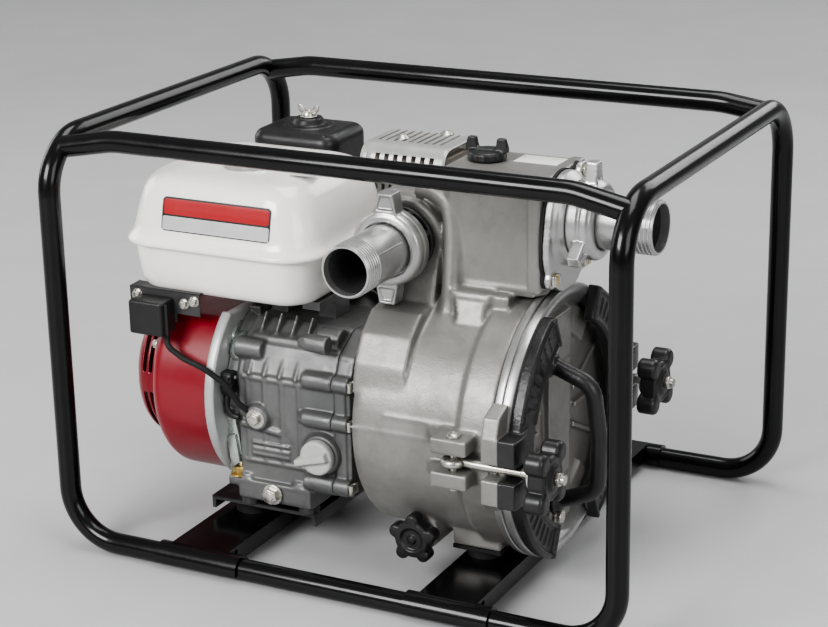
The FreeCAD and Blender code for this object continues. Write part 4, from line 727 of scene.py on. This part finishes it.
s = Shape().lathe((-154, -84, 0), "z", [(385.0, 21.2), (392.8, 21.2), (392.8, 22.8), (388.4, 23.2), (387.2, 25.0), (387.2, 30.8), (385.0, 30.8)], n=72)
piece("fuel_tank_neck", s, "zinc_steel", "unit", auto=40)
s = Shape()
s.lathe((-154, -84, 0), "z", [(387.9, 23.6), (387.9, 26.6), (388.6, 27.4), (394.6, 27.5), (397.4, 26.6), (399.4, 23.6), (400.3, 18.0), (400.4, 0), (394.0, 0), (394.0, 23.6)], n=96)
for k in range(12):
    a = math.radians(30 * k)
    m = Matrix.Translation((-154, -84, 0)) @ Matrix.Rotation(a, 4, "Z")
    s.box(25.6, 28.1, -3.2, 3.2, 388.6, 395.4, m=m)
s.box(-177, -131, -87.5, -80.5, 398.8, 401.4)
piece("fuel_cap_pressed", s, "chrome_cap", "fuel_cap_body", replaces=("fuel_cap",), voxel=0.9, smooth=4)


def tank_y(z):
    for (z0, i0, _), (z1, i1, _) in zip(prof, prof[1:]):
        if z0 <= z <= z1:
            return TY0 + i0 + (i1 - i0) * (z - z0) / (z1 - z0)
    return TY0


def skin_patch(name, x0, x1, z0, z1, mat, off, rad=2.0, thick=0.35):
    """Thin plate that follows the front of the tank."""
    nz = 14
    rows = []
    for k in range(nz + 1):
        z = z0 + (z1 - z0) * k / nz
        d = min(z - z0, z1 - z)
        ins = rad - math.sqrt(max(0.0, rad * rad - (rad - d) ** 2)) if d < rad else 0.0
        y = tank_y(z) - off
        n = 10
        row = [Vector((x0 + ins + (x1 - x0 - 2 * ins) * j / n, y, z)) for j in range(n + 1)]
        row += [Vector((x1 - ins - (x1 - x0 - 2 * ins) * j / n, y + thick + off, z)) for j in range(n + 1)]
        rows.append(row)
    s = Shape().loft(rows)
    return piece(name, s, mat, "unit", auto=40)


skin_patch("tank_plate_border", -218.5, -92.5, 333.8, 367.4, "label_dark", 0.25, 3.0)
skin_patch("tank_plate_upper", -216.6, -94.4, 350.4, 365.6, "label_red", 0.45, 2.4)
skin_patch("tank_plate_lower", -217.3, -93.7, 335.0, 348.6, "label_silver", 0.45, 1.6)
s = Shape()
q = Matrix.Translation((-84, -100, 0)) @ Matrix.Rotation(math.radians(8), 4, "Z")
s.box(-13, 13, -9, 9, 391.0, 392.0, m=q)
d1 = piece("tank_small_plate", s, "label_white", "unit", bevel=0.2)

# ------------------------------------------------- fan housing and recoil part
s = Shape().from_node("fan_cover")
piece("fan_cover_pressed", s, "red_paint", "unit", replaces=("fan_cover",), voxel=1.25, smooth=10, sfac=0.6)
s = Shape()
s.lathe((0, YC, ZC), "x", [(-263.4, 79.4), (-266.4, 78.6), (-270.4, 76.0), (-274.4, 71.2), (-277.6, 64.6), (-280.0, 56.0), (-281.0, 46.0), (-281.2, 0), (-278.4, 0), (-278.2, 45),
                           (-277.2, 54.4), (-274.8, 62.8), (-271.8, 69.2), (-268.0, 73.4), (-263.4, 76.4)], n=140)
for a, b in ((-259.6, -256.2), (-252.6, -249.2), (-245.6, -239.2)):
    s.lathe((0, YC, ZC), "x", [(a, 76.6), (a, 79.5), (b, 79.5), (b, 76.6)], n=140)
for k in range(6):
    s.lathe((0, YC, ZC), "x", [(-266.0, 75.6), (-266.0, 78.4), (-262, 79.3), (-244, 79.4), (-244, 76.6)], n=8, a0=math.radians(60 * k - 8), a1=math.radians(60 * k + 8))
s.lathe((0, YC, ZC), "x", [(-239.2, 78), (-240.8, 81.5), (-241.0, 88.6), (-239.2, 89.4)], n=120)
s.cyl((-249, 12.0, 159), (-249, 16.9, 159), 5.2, 32)
s.lathe((0, YC, ZC), "x", [(-279, 0), (-279, 20), (-282.6, 18.6), (-283.2, 16.6), (-283.2, 0)], n=64)
for r in (46.0, 60.0):
    s.lathe((0, YC, ZC), "x", [(-281.0, r - 1.6), (-282.0, r - 0.8), (-282.0, r + 0.8), (-280.6, r + 1.6), (-278.2, r + 1.6), (-278.2, r - 1.6)], n=96)
for k in range(3):
    a = math.radians(30 + 120 * k)
    c = (0, YC + 84 * math.cos(a), ZC + 84 * math.sin(a))
    s.lathe(c, "x", [(-239.6, 0), (-239.6, 9.0), (-243, 8.4), (-244.4, 6.6), (-244.4, 0)], n=32)
piece("recoil_cover_pressed", s, "red_paint", "unit", replaces=("recoil_cover",), voxel=1.1, smooth=6, sfac=0.55)
s = Shape()
for k in range(3):
    a = math.radians(30 + 120 * k)
    y, z = YC + 84 * math.cos(a), ZC + 84 * math.sin(a)
    s.cyl((-244.2, y, z), (-245.6, y, z), 6.4, 28)
    s.hexa((-245.4, y, z), (-1, 0, 0), 9.0, 5.2)
piece("recoil_cover_screws", s, "zinc_steel", "unit", bevel=0.3)
s = Shape().from_node("fan_backplate")
s.lathe((0, YC, ZC), "x", [(-168.2, 108.2), (-168.2, 110.8), (-166.6, 111.6), (-160, 111.6), (-157.4, 110.4), (-157.4, 108.2)], n=110, a0=math.radians(128), a1=math.radians(300))
piece("fan_backplate_cast", s, "light_casting", "unit", replaces=("fan_backplate",), voxel=1.3, smooth=6, sfac=0.5)

# ------------------------------------------------------------------ crankcase
s = Shape().from_node("crankcase")
# wall that closes the case towards the fan side
s.prism([(-146, 76), (-146, 186), (-134, 214), (-108, 231), (-44, 231), (-8, 216), (4, 186), (4, 76), (-8, 76), (-8, 180), (-26, 214), (-56, 222), (-100, 222), (-122, 206), (-132, 180), (-132, 76)], "x", -157.0, -142)
# ribs and raised panel on the near face (outer face lies at Y -149)
for x in (-132, -112, -92, -72):
    s.tube([(x, -148.8, z) for z in (96, 110, 124, 140, 156, 172, 186)], 1.7, n=12)
s.tube([(-138 + i * 8, -148.9, 186 - 0.05 * i) for i in range(14)], 2.0, n=12)
s.tube([(-138 + i * 8, -148.9, 96) for i in range(14)], 2.0, n=12)
s.loft([[(-141, -149.5, 132), (-92, -149.5, 126), (-92, -149.5, 134), (-141, -149.5, 141)], [(-139, -153.0, 134), (-95, -152.2, 128), (-95, -152.2, 132), (-139, -153.0, 138)]])
for i in range(3):
    s.box(-128, -84, -151.3, -148, 103 + i * 6.0, 105.6 + i * 6.0)
# round sensor boss, bosses of the case joint
s.lathe((-119, 0, 145), "y", [(-146, 0), (-146, 15.5), (-151, 14.4), (-156.2, 12.8), (-157, 11.6), (-157, 9.0), (-154, 8.4), (-154, 0)], n=48)
for y, z, x0 in ((-148, 193, -68), (-151, 153, -72), (-151, 85, -66), (-148, 232, -70)):
    s.lathe((0, y, z), "x", [(x0, 0), (x0 + 1, 5.2), (x0 + 5, 6.6), (x0 + 12, 8.0), (x0 + 22, 8.6), (x0 + 34, 8.8), (x0 + 34, 0)], n=40)
    s.prism([(y - 6, z - 7), (y - 6, z + 7), (y + 6, z + 9), (y + 6, z - 9)], "x", x0 + 8, x0 + 34)
# upper deck: bosses and ribs on the sloping shoulder in front of the barrel
s.loft([[(-138, -146, 190), (-40, -146, 190), (-40, -120, 228), (-138, -120, 228)], [(-134, -150.5, 192), (-44, -150.5, 192), (-44, -130, 226), (-134, -130, 226)]])
for x in (-128, -110, -92, -74):
    s.loft([[(x - 2, -146, 186), (x + 2, -146, 186), (x + 2, -104, 240), (x - 2, -104, 240)], [(x - 1.4, -154, 191), (x + 1.4, -154, 191), (x + 1.4, -112, 246), (x - 1.4, -112, 246)]])
s.cone((-146, -139, 214), (-116, -139, 214), 11.5, 9.5, 36)
s.cone((-60, -120, 228), (-34, -120, 228), 12.5, 12.5, 36)
# oil neck flare and base flange details
s.lathe((-45, 0, 117), "y", [(-145, 13.2), (-145, 25), (-150, 22.8), (-156.6, 20.4), (-157.2, 18.6), (-157.2, 13.2)], n=56)
s.box(-145, -60, -153.6, -140, 54.6, 73)
s.box(-143, -62, -153.9, -150, 71, 75.4)
s.box(-157, -140, -153.4, -134, 66, 75.6)
for x in (-136, -74):
    s.lathe((x, -142, 0), "z", [(73, 5.0), (73, 12.0), (79.6, 10.6), (80.4, 9.8), (80.4, 5.0)], n=36)
c = Shape().cyl((-74, -142, 60), (-74, -142, 90), 4.6, 24)
piece("crankcase_cast", s, "engine_casting", "unit", replaces=("crankcase",), voxel=1.35, smooth=6, sfac=0.5)

s = Shape().from_node("crankcase_side_cover")
for k in range(9):
    a = math.radians(20 + 40 * k)
    m = Matrix.Translation((0, YC, ZC)) @ Matrix.Rotation(a, 4, "X")
    s.box(-30, -14.2, 60, 74, -2.0, 2.0, m=m)
s.prism([(-151.5, 74), (-151.5, 186), (-139, 214), (-108, 233.5), (-106, 226), (-133, 208), (-144, 183), (-144, 74)], "x", -29.5, -18)
piece("crankcase_side_cast", s, "engine_casting", "unit", replaces=("crankcase_side_cover",), voxel=1.3, smooth=5)

s = Shape()
s.lathe((0, YC, ZC), "x", [(-157.0, 62), (-157.0, 88), (-154, 87), (-149, 83), (-143.4, 81), (-143.4, 62)], n=110, a0=math.radians(96), a1=math.radians(286))
for k in range(7):
    m = Matrix.Translation((0, YC, ZC)) @ Matrix.Rotation(math.radians(112 + 26 * k), 4, "X")
    s.box(-157, -143.2, 80, 92, -2.0, 2.0, m=m)
piece("fan_side_wall", s, "engine_casting", "unit", voxel=1.2, smooth=4)

# plated breather shell, its bracket and the sensor connector
s = Shape()
s.loft([[(-164 + 2.0 * k, -116 - 22 * math.cos(t), 208 + 26 * math.sin(t)) for t in [2 * math.pi * j / 28 for j in range(28)]] for k in (0, 1)] +
       [[(-156 + 1.0, -116 - 20.5 * math.cos(t), 208 + 24.5 * math.sin(t)) for t in [2 * math.pi * j / 28 for j in range(28)]]])
s.lathe((-158, -123, 205), "x", [(0, 0), (0, 15), (2.5, 18.4), (7, 19.5), (11.5, 18.8), (15, 14), (16.4, 7), (16.4, 0)], n=48)
piece("crankcase_breather", s, "plated_sheet", "unit", voxel=0.9, smooth=6)
s = Shape()
m = Matrix.Translation((-150, -151, 132))
s.loft([[(-158, -143, 76), (-142, -143, 80), (-142, -146.2, 80), (-158, -146.2, 76)], [(-160, -146, 112), (-144, -146, 116), (-144, -149, 116), (-160, -149, 112)],
        [(-163, -146, 132), (-147, -147, 134), (-147, -150, 134), (-163, -149, 132)], [(-163, -144, 156), (-150, -144, 156), (-150, -147, 156), (-163, -147, 156)]])
s.loft([[(-152, -147, 84), (-143, -147, 92), (-143, -152.5, 92), (-152, -152.5, 84)], [(-158, -148, 118), (-147, -148, 122), (-147, -152.5, 122), (-158, -152.5, 118)]])
piece("oil_sensor_bracket", s, "plated_sheet", "unit", bevel=0.5, seg=2)
s = Shape()
s.box(-162, -146, -158, -146, 166, 190)
s.box(-160, -148, -160.2, -157, 170, 186)
for i in range(4):
    s.box(-162.8, -145.2, -158.6, -146, 169 + i * 5.2, 171.4 + i * 5.2)
s.tube(spline([(-153, -152, 168), (-153, -155, 158), (-152, -156, 150), (-148, -155, 144), (-140, -153, 142)], 8), 3.2, n=16)
s.tube(spline([(-158, -152, 168), (-159, -154, 160), (-158, -154, 152)], 8), 2.0, n=12)
piece("oil_sensor_connector", s, "plastic_black", "unit", voxel=0.8, smooth=4)
s = Shape()
s.lathe((-119, 0, 145), "y", [(-154, 3.4), (-154, 10.2), (-155.6, 10.6), (-157.4, 10.2), (-157.4, 3.4)], n=40)
s.hexa((-119, -157.3, 145), (0, -1, 0), 11.0, 5.2)
s.lathe((-157, 0, 147), "y", [(-149, 3.0), (-149, 6.6), (-150.4, 7.0), (-151.8, 6.6), (-151.8, 3.0)], n=30)
piece("oil_sensor_bolt", s, "zinc_steel", "unit", bevel=0.3)
s = Shape()
for x, y, z in ((-147, -146, 75.6),):
    s.lathe((x, y, 0), "z", [(z, 0), (z, 9.6), (z + 1.6, 9.8), (z + 2.0, 9.2), (z + 2.0, 0)], n=36)
    s.hexa((x, y, z + 1.8), (0, 0, 1), 12.6, 8.2)
piece("base_nut_brass", s, "brass_plated", "unit", bevel=0.35)

# light oil cap with a slanting grip tab
s = Shape()
s.lathe((-45, 0, 117), "y", [(-140.4, 0), (-140.4, 12.6), (-157.4, 12.8), (-157.6, 17.2), (-158.6, 18.0), (-164.6, 18.2), (-166.4, 17.2), (-167.2, 15.2), (-167.2, 0)], n=80)
m = Matrix.Translation((-45, 0, 117)) @ Matrix.Rotation(math.radians(-18), 4, "Y")
s.loft([[m @ Vector(p) for p in ((-22.5, -166.8, -3.6), (15.5, -166.8, -5.6), (15.5, -166.8, 5.6), (-22.5, -166.8, 3.6))],
        [m @ Vector(p) for p in ((-22.0, -172.6, -2.2), (14.5, -173.6, -3.6), (14.5, -173.6, 3.6), (-22.0, -172.6, 2.2))]])
s.loft([[m @ Vector(p) for p in ((-23.0, -160.0, -4.2), (-12, -160.0, -5.2), (-12, -160.0, 5.2), (-23.0, -160.0, 4.2))],
        [m @ Vector(p) for p in ((-22.8, -170.6, -3.4), (-12, -170.6, -4.6), (-12, -170.6, 4.6), (-22.8, -170.6, 3.4))]])
piece("oil_filler_cap_moulded", s, "cap_grey", "oil_cap_body", replaces=("oil_filler_cap",), voxel=0.75, smooth=4)

# oil drain bolt with washer
s = Shape()
s.cyl((-103, -151.9, 64), (-103, -133, 64), 4.8, 24)
s.lathe((-103, 0, 64), "y", [(-153.9, 0), (-153.9, 10.6), (-154.4, 11.2), (-156, 11.2), (-156.4, 10.6), (-156.4, 0)], n=48)
s.hexa((-103, -156.2, 64), (0, -1, 0), 15.5, 7.4)
s.lathe((-103, 0, 64), "y", [(-163.4, 0), (-163.4, 5.2), (-164.2, 4.6), (-164.2, 0)], n=24)
piece("oil_drain_bolt", s, "zinc_steel", "unit", replaces=("oil_drain_plug",), bevel=0.4)

# ------------------------------------------------------- hexagon screws, stays
me = NODES["hex_bolts"].data
bm = bmesh.new()
bm.from_mesh(me)
bm.verts.ensure_lookup_table()
seen, isl = set(), []
for v0 in bm.verts:
    if v0.index in seen:
        continue
    st, grp = [v0], []
    seen.add(v0.index)
    while st:
        v = st.pop()
        grp.append(v.co * 1000)
        for e in v.link_edges:
            o_ = e.other_vert(v)
            if o_.index not in seen:
                seen.add(o_.index)
                st.append(o_)
    isl.append(([min(g[i] for g in grp) for i in range(3)], [max(g[i] for g in grp) for i in range(3)]))
bm.free()
merged = {}
for lo, hi in isl:
    key = (round((lo[1] + hi[1]) / 2), round((lo[2] + hi[2]) / 2), round(hi[0] / 40))
    if key in merged:
        a, b = merged[key]
        merged[key] = ([min(a[i], lo[i]) for i in range(3)], [max(b[i], hi[i]) for i in range(3)])
    else:
        merged[key] = (lo, hi)
s1, s2 = Shape(), Shape()
for lo, hi in merged.values():
    dx = [hi[i] - lo[i] for i in range(3)]
    ax = dx.index(max(dx))
    cen = [(lo[i] + hi[i]) / 2 for i in range(3)]
    if ax == 0:
        y, z, xe = cen[1], cen[2], hi[0]
        sh = s2 if xe > 100 else s1
        sh.cyl((lo[0], y, z), (xe - 5.2, y, z), 2.95, 18)
        sh.lathe((0, y, z), "x", [(xe - 6.1, 0), (xe - 6.1, 6.6), (xe - 5.2, 6.8), (xe - 4.6, 6.0), (xe - 4.6, 0)], n=32)
        sh.hexa((xe - 4.8, y, z), (1, 0, 0), 9.8, 4.7)
        sh.lathe((0, y, z), "x", [(xe - 0.3, 0), (xe - 0.3, 3.4), (xe + 0.1, 3.0), (xe + 0.1, 0)], n=20)
    else:
        s1.cyl((cen[0], cen[1], lo[2]), (cen[0], cen[1], hi[2]), 3.0, 18)
if s1.v:
    piece("case_screws", s1, "zinc_steel", "unit", replaces=("hex_bolts",), bevel=0.25)
if s2.v:
    piece("valve_body_screws", s2, "brass_plated", "unit", replaces=("hex_bolts",), bevel=0.25)

s = Shape().from_node("tank_stays")
piece("tank_stays_cast", s, "engine_casting", "unit", replaces=("tank_stays",), voxel=1.0, smooth=4)

# -------------------------------------------------------- air cleaner, guard
s = Shape().from_node("air_cleaner_cover")
s.lathe((-195, 103, 0), "z", [(386.4, 14), (386.4, 27.5), (388.6, 26.6), (389.0, 24.6), (388.0, 14)], n=64)
for k in range(5):
    s.box(-236 + k * 0, -150, 66 + k * 4.0, 67.4 + k * 4.0, 386, 387.0)
s.prism([(-243, 62.5), (-147, 62.5), (-147, 64), (-243, 64)], "z", 341, 345)
piece("air_cleaner_cover_moulded", s, "plastic_black", "air_cover", replaces=("air_cleaner_cover",), voxel=1.1, smooth=6)
s = Shape()
s.lathe((-195, 103, 0), "z", [(396.2, 3.3), (396.2, 9.4), (397.4, 9.8), (397.8, 9.0), (397.8, 3.3)], n=40)
s.lathe((-195, 103, 0), "z", [(397.6, 3.3), (397.6, 7.8), (400, 7.2), (402.0, 6.0), (403.6, 5.2), (403.6, 3.3)], n=40)
for sg in (-1, 1):
    w = spline([(-195 + sg * 4.0, 103, 398.6), (-195 + sg * 9.0, 103, 400.4), (-195 + sg * 13.0, 103, 405.6), (-195 + sg * 12.4, 103, 409.4), (-195 + sg * 8.4, 103, 408.6), (-195 + sg * 5.2, 103, 403.4)], 6)
    k = len(w)
    s.prism([(p.x, p.z) for p in w], "y", 101.7, 104.3)
piece("air_cleaner_wing_nut_pressed", s, "zinc_steel", "wing_nut", replaces=("air_cleaner_wing_nut",), bevel=0.5, seg=2)
s = Shape().from_node("muffler_guard")
cc = Shape()
for k in range(8):
    x = -96 + k * 10.6
    cc.box(x, x + 5.4, 44, 56, 366, 378)
for k in range(8):
    y = 60 + k * 8.8
    cc.box(-8, 4, y, y + 4.6, 364, 377)
piece("muffler_guard_pressed", s, "guard_paint", "unit", replaces=("muffler_guard",), auto=38, cut=cc)
s = Shape()
for x, y in ((-72, 88), (-36, 122)):
    s.lathe((x, y, 0), "z", [(385.5, 0), (385.5, 7.4), (387.4, 7.6), (388.0, 6.8), (389.8, 5.0), (391.0, 3.2), (390.2, 1.6), (390.2, 0)], n=36)
piece("muffler_guard_screws", s, "zinc_steel", "unit", auto=34)

# --------------------------------------------------------------- switch
s = Shape().from_node("switch_box")
s.box(-243, -206, -176.0, -174.6, 228, 260)
s.box(-216, -207, -157, -154.4, 236, 262)
piece("switch_box_moulded", s, "plastic_black", "unit", replaces=("switch_box",), voxel=0.8, smooth=4)
s = Shape()
s.box(-262, -178, -158.4, -157.0, 246, 270)
s.box(-262, -178, -158.4, -140, 268.6, 270)
s.box(-262, -260.6, -158.4, -140, 238, 270)
piece("switch_bracket", s, "bracket_paint", "unit", bevel=0.5, seg=2)
s = Shape()
for x, z in ((-196, 258), (-184, 262), (-252, 262)):
    s.lathe((x, 0, z), "y", [(-158.2, 0), (-158.2, 5.6), (-159.6, 5.8), (-160.2, 5.0), (-160.2, 0)], n=30)
    s.hexa((x, -160.1, z), (0, -1, 0), 8.0, 4.2)
for x, z in ((-212, 232), (-238, 232)):
    s.lathe((x, 0, z), "y", [(-176.0, 0), (-176.0, 3.4), (-177.2, 3.0), (-177.6, 1.4), (-177.6, 0)], n=24)
piece("switch_screws", s, "zinc_steel", "unit", bevel=0.2)
s = Shape()
s.cyl((-243, -164.6, 247), (-243, -174.4, 247), 4.6, 30)
s.loft([[(-239, -164.8, 243), (-239, -174.2, 243), (-239, -174.2, 251), (-239, -164.8, 251)],
        [(-250, -165.0, 236.5), (-250, -174.0, 236.5), (-250, -174.0, 248.5), (-250, -165.0, 248.5)],
        [(-254.6, -165.6, 234.2), (-254.6, -173.4, 234.2), (-254.6, -173.4, 240.6), (-254.6, -165.6, 240.6)]])
piece("switch_lever_moulded", s, "plastic_red", "switch_lever_body", replaces=("switch_lever",), voxel=0.6, smooth=3)

# ------------------------------------------------------- starter grip and rope
s = Shape()
s.loft([rrect_ring(-256.5 + i, -241.5 - i, 31.5, 42.5 - 0, 159 + z, 5.0, 5, 3) for z, i in ((-29.5, 2.2), (-27, 0.4), (-18, 0.0), (-8, 1.0), (0, 1.4), (8, 1.0), (18, 0.0), (27, 0.4), (29.5, 2.2))])
s.cone((-249, 17.2, 159), (-249, 33, 159), 4.6, 7.2, 30)
piece("recoil_grip_moulded", s, "plastic_black", "recoil_grip_body", replaces=("recoil_grip",), voxel=0.7, smooth=5)
rp_ = []
s = Shape().tube([(-249, 3.0 + 0.25 * i, 159) for i in range(73)], 1.7, n=14)
rope = piece("starter_rope", s, "rope_fibre", None)
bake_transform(rope)

# ----------------------------------------------- frame: weld beads round the saddles
s = Shape()
for y in (-226.4, 226.4):
    for x0, x1 in ((-181, -115), (100, 161)):
        for x in (x0, x1):
            for k in range(1):
                pts = []
                for j in range(25):
                    a = math.radians(-20 + 220 * j / 24)
                    pts.append((x + 0.5 * math.sin(j * 2.1), y + 11.6 * math.cos(a), 11.1 + 11.6 * math.sin(a)))
                s.tube(pts, 1.5, n=10, radii=[1.2 + 0.35 * math.sin(j * 1.9) for j in range(25)])
piece("saddle_welds", s, "frame_paint", "unit", auto=50)



# --------------------------------------------------------- camera and lights
scene = bpy.context.scene
cam = bpy.data.cameras.new("camera")
cam.lens = 93.12
cam.sensor_width = 36.0
cam.clip_start, cam.clip_end = 0.05, 60
co = bpy.data.objects.new("camera", cam)
scene.collection.objects.link(co)
R, U, F = Vector((0.89098, 0.45370, -0.01785)), Vector((-0.12708, 0.28692, 0.94949)), Vector((-0.43590, 0.84370, -0.31330))
mt = Matrix.Identity(4)
for i in range(3):
    mt[i][0], mt[i][1], mt[i][2] = R[i], U[i], -F[i]
mt.translation = Vector((0.95805, -1.88650, 0.92441))
co.matrix_world = mt
scene.camera = co


def area(name, loc, target, size, power, color=(1, 1, 1), size_y=None):
    l = bpy.data.lights.new(name, "AREA")
    l.shape = "RECTANGLE"
    l.size, l.size_y = size, size_y or size
    l.energy = power
    l.color = color
    o = bpy.data.objects.new(name, l)
    o.location = loc
    o.rotation_mode = "QUATERNION"
    o.rotation_quaternion = (Vector(target) - Vector(loc)).to_track_quat("-Z", "Y")
    scene.collection.objects.link(o)
    return o


area("key", (-0.8, -2.7, 1.75), (0, 0, 0.2), 1.5, 101, size_y=1.1)
area("top", (0.2, 0.2, 2.9), (0, 0, 0.2), 2.4, 54, size_y=1.2)
area("fill", (2.4, -1.4, 1.3), (0, 0, 0.25), 1.4, 26)
area("rim", (0.8, 2.6, 1.9), (0, 0, 0.25), 1.8, 34)
area("left", (-2.8, 0.3, 1.2), (0, 0, 0.2), 1.6, 24)

world = bpy.data.worlds.new("world")
world.use_nodes = True
wn = world.node_tree
bg = wn.nodes["Background"]
tc = wn.nodes.new("ShaderNodeTexCoord")
sep = wn.nodes.new("ShaderNodeSeparateXYZ")
wn.links.new(tc.outputs["Generated"], sep.inputs[0])
rp = wn.nodes.new("ShaderNodeValToRGB")
rp.color_ramp.elements[0].position = 0.0
rp.color_ramp.elements[0].color = (0.34, 0.34, 0.345, 1)
rp.color_ramp.elements[1].position = 0.75
rp.color_ramp.elements[1].color = (0.70, 0.70, 0.70, 1)
wn.links.new(sep.outputs["Z"], rp.inputs[0])
wn.links.new(rp.outputs[0], bg.inputs[0])
bg.inputs[1].default_value = 0.52
scene.world = world

fm = bpy.data.meshes.new("floor")
N = 24
fv, ff = [], []
prof = [(-9.0, 0.0), (2.2, 0.0), (2.9, 0.05), (3.4, 0.25), (3.8, 0.7), (4.0, 1.4), (4.05, 2.4), (4.05, 6.0)]
for (yy, zz) in prof:
    fv += [(-9.0, yy, zz), (9.0, yy, zz)]
for i in range(len(prof) - 1):
    ff.append((2 * i, 2 * i + 1, 2 * i + 3, 2 * i + 2))
fm.from_pydata(fv, [], ff)
fo = bpy.data.objects.new("floor", fm)
scene.collection.objects.link(fo)
rot = Matrix.Rotation(math.radians(27.3), 4, "Z")
fo.matrix_world = rot
for p in fm.polygons:
    p.use_smooth = True
flm = material("studio_floor", (0.46, 0.46, 0.465), 0.0, (0.45, 0.55), (0.475, 0.475, 0.48), 1.2, 60, 0.02, 0.1)
fm.materials.append(flm)
scene.view_settings.view_transform = "AgX"
scene.view_settings.look = "AgX - Medium High Contrast"
scene.view_settings.exposure = 0.0
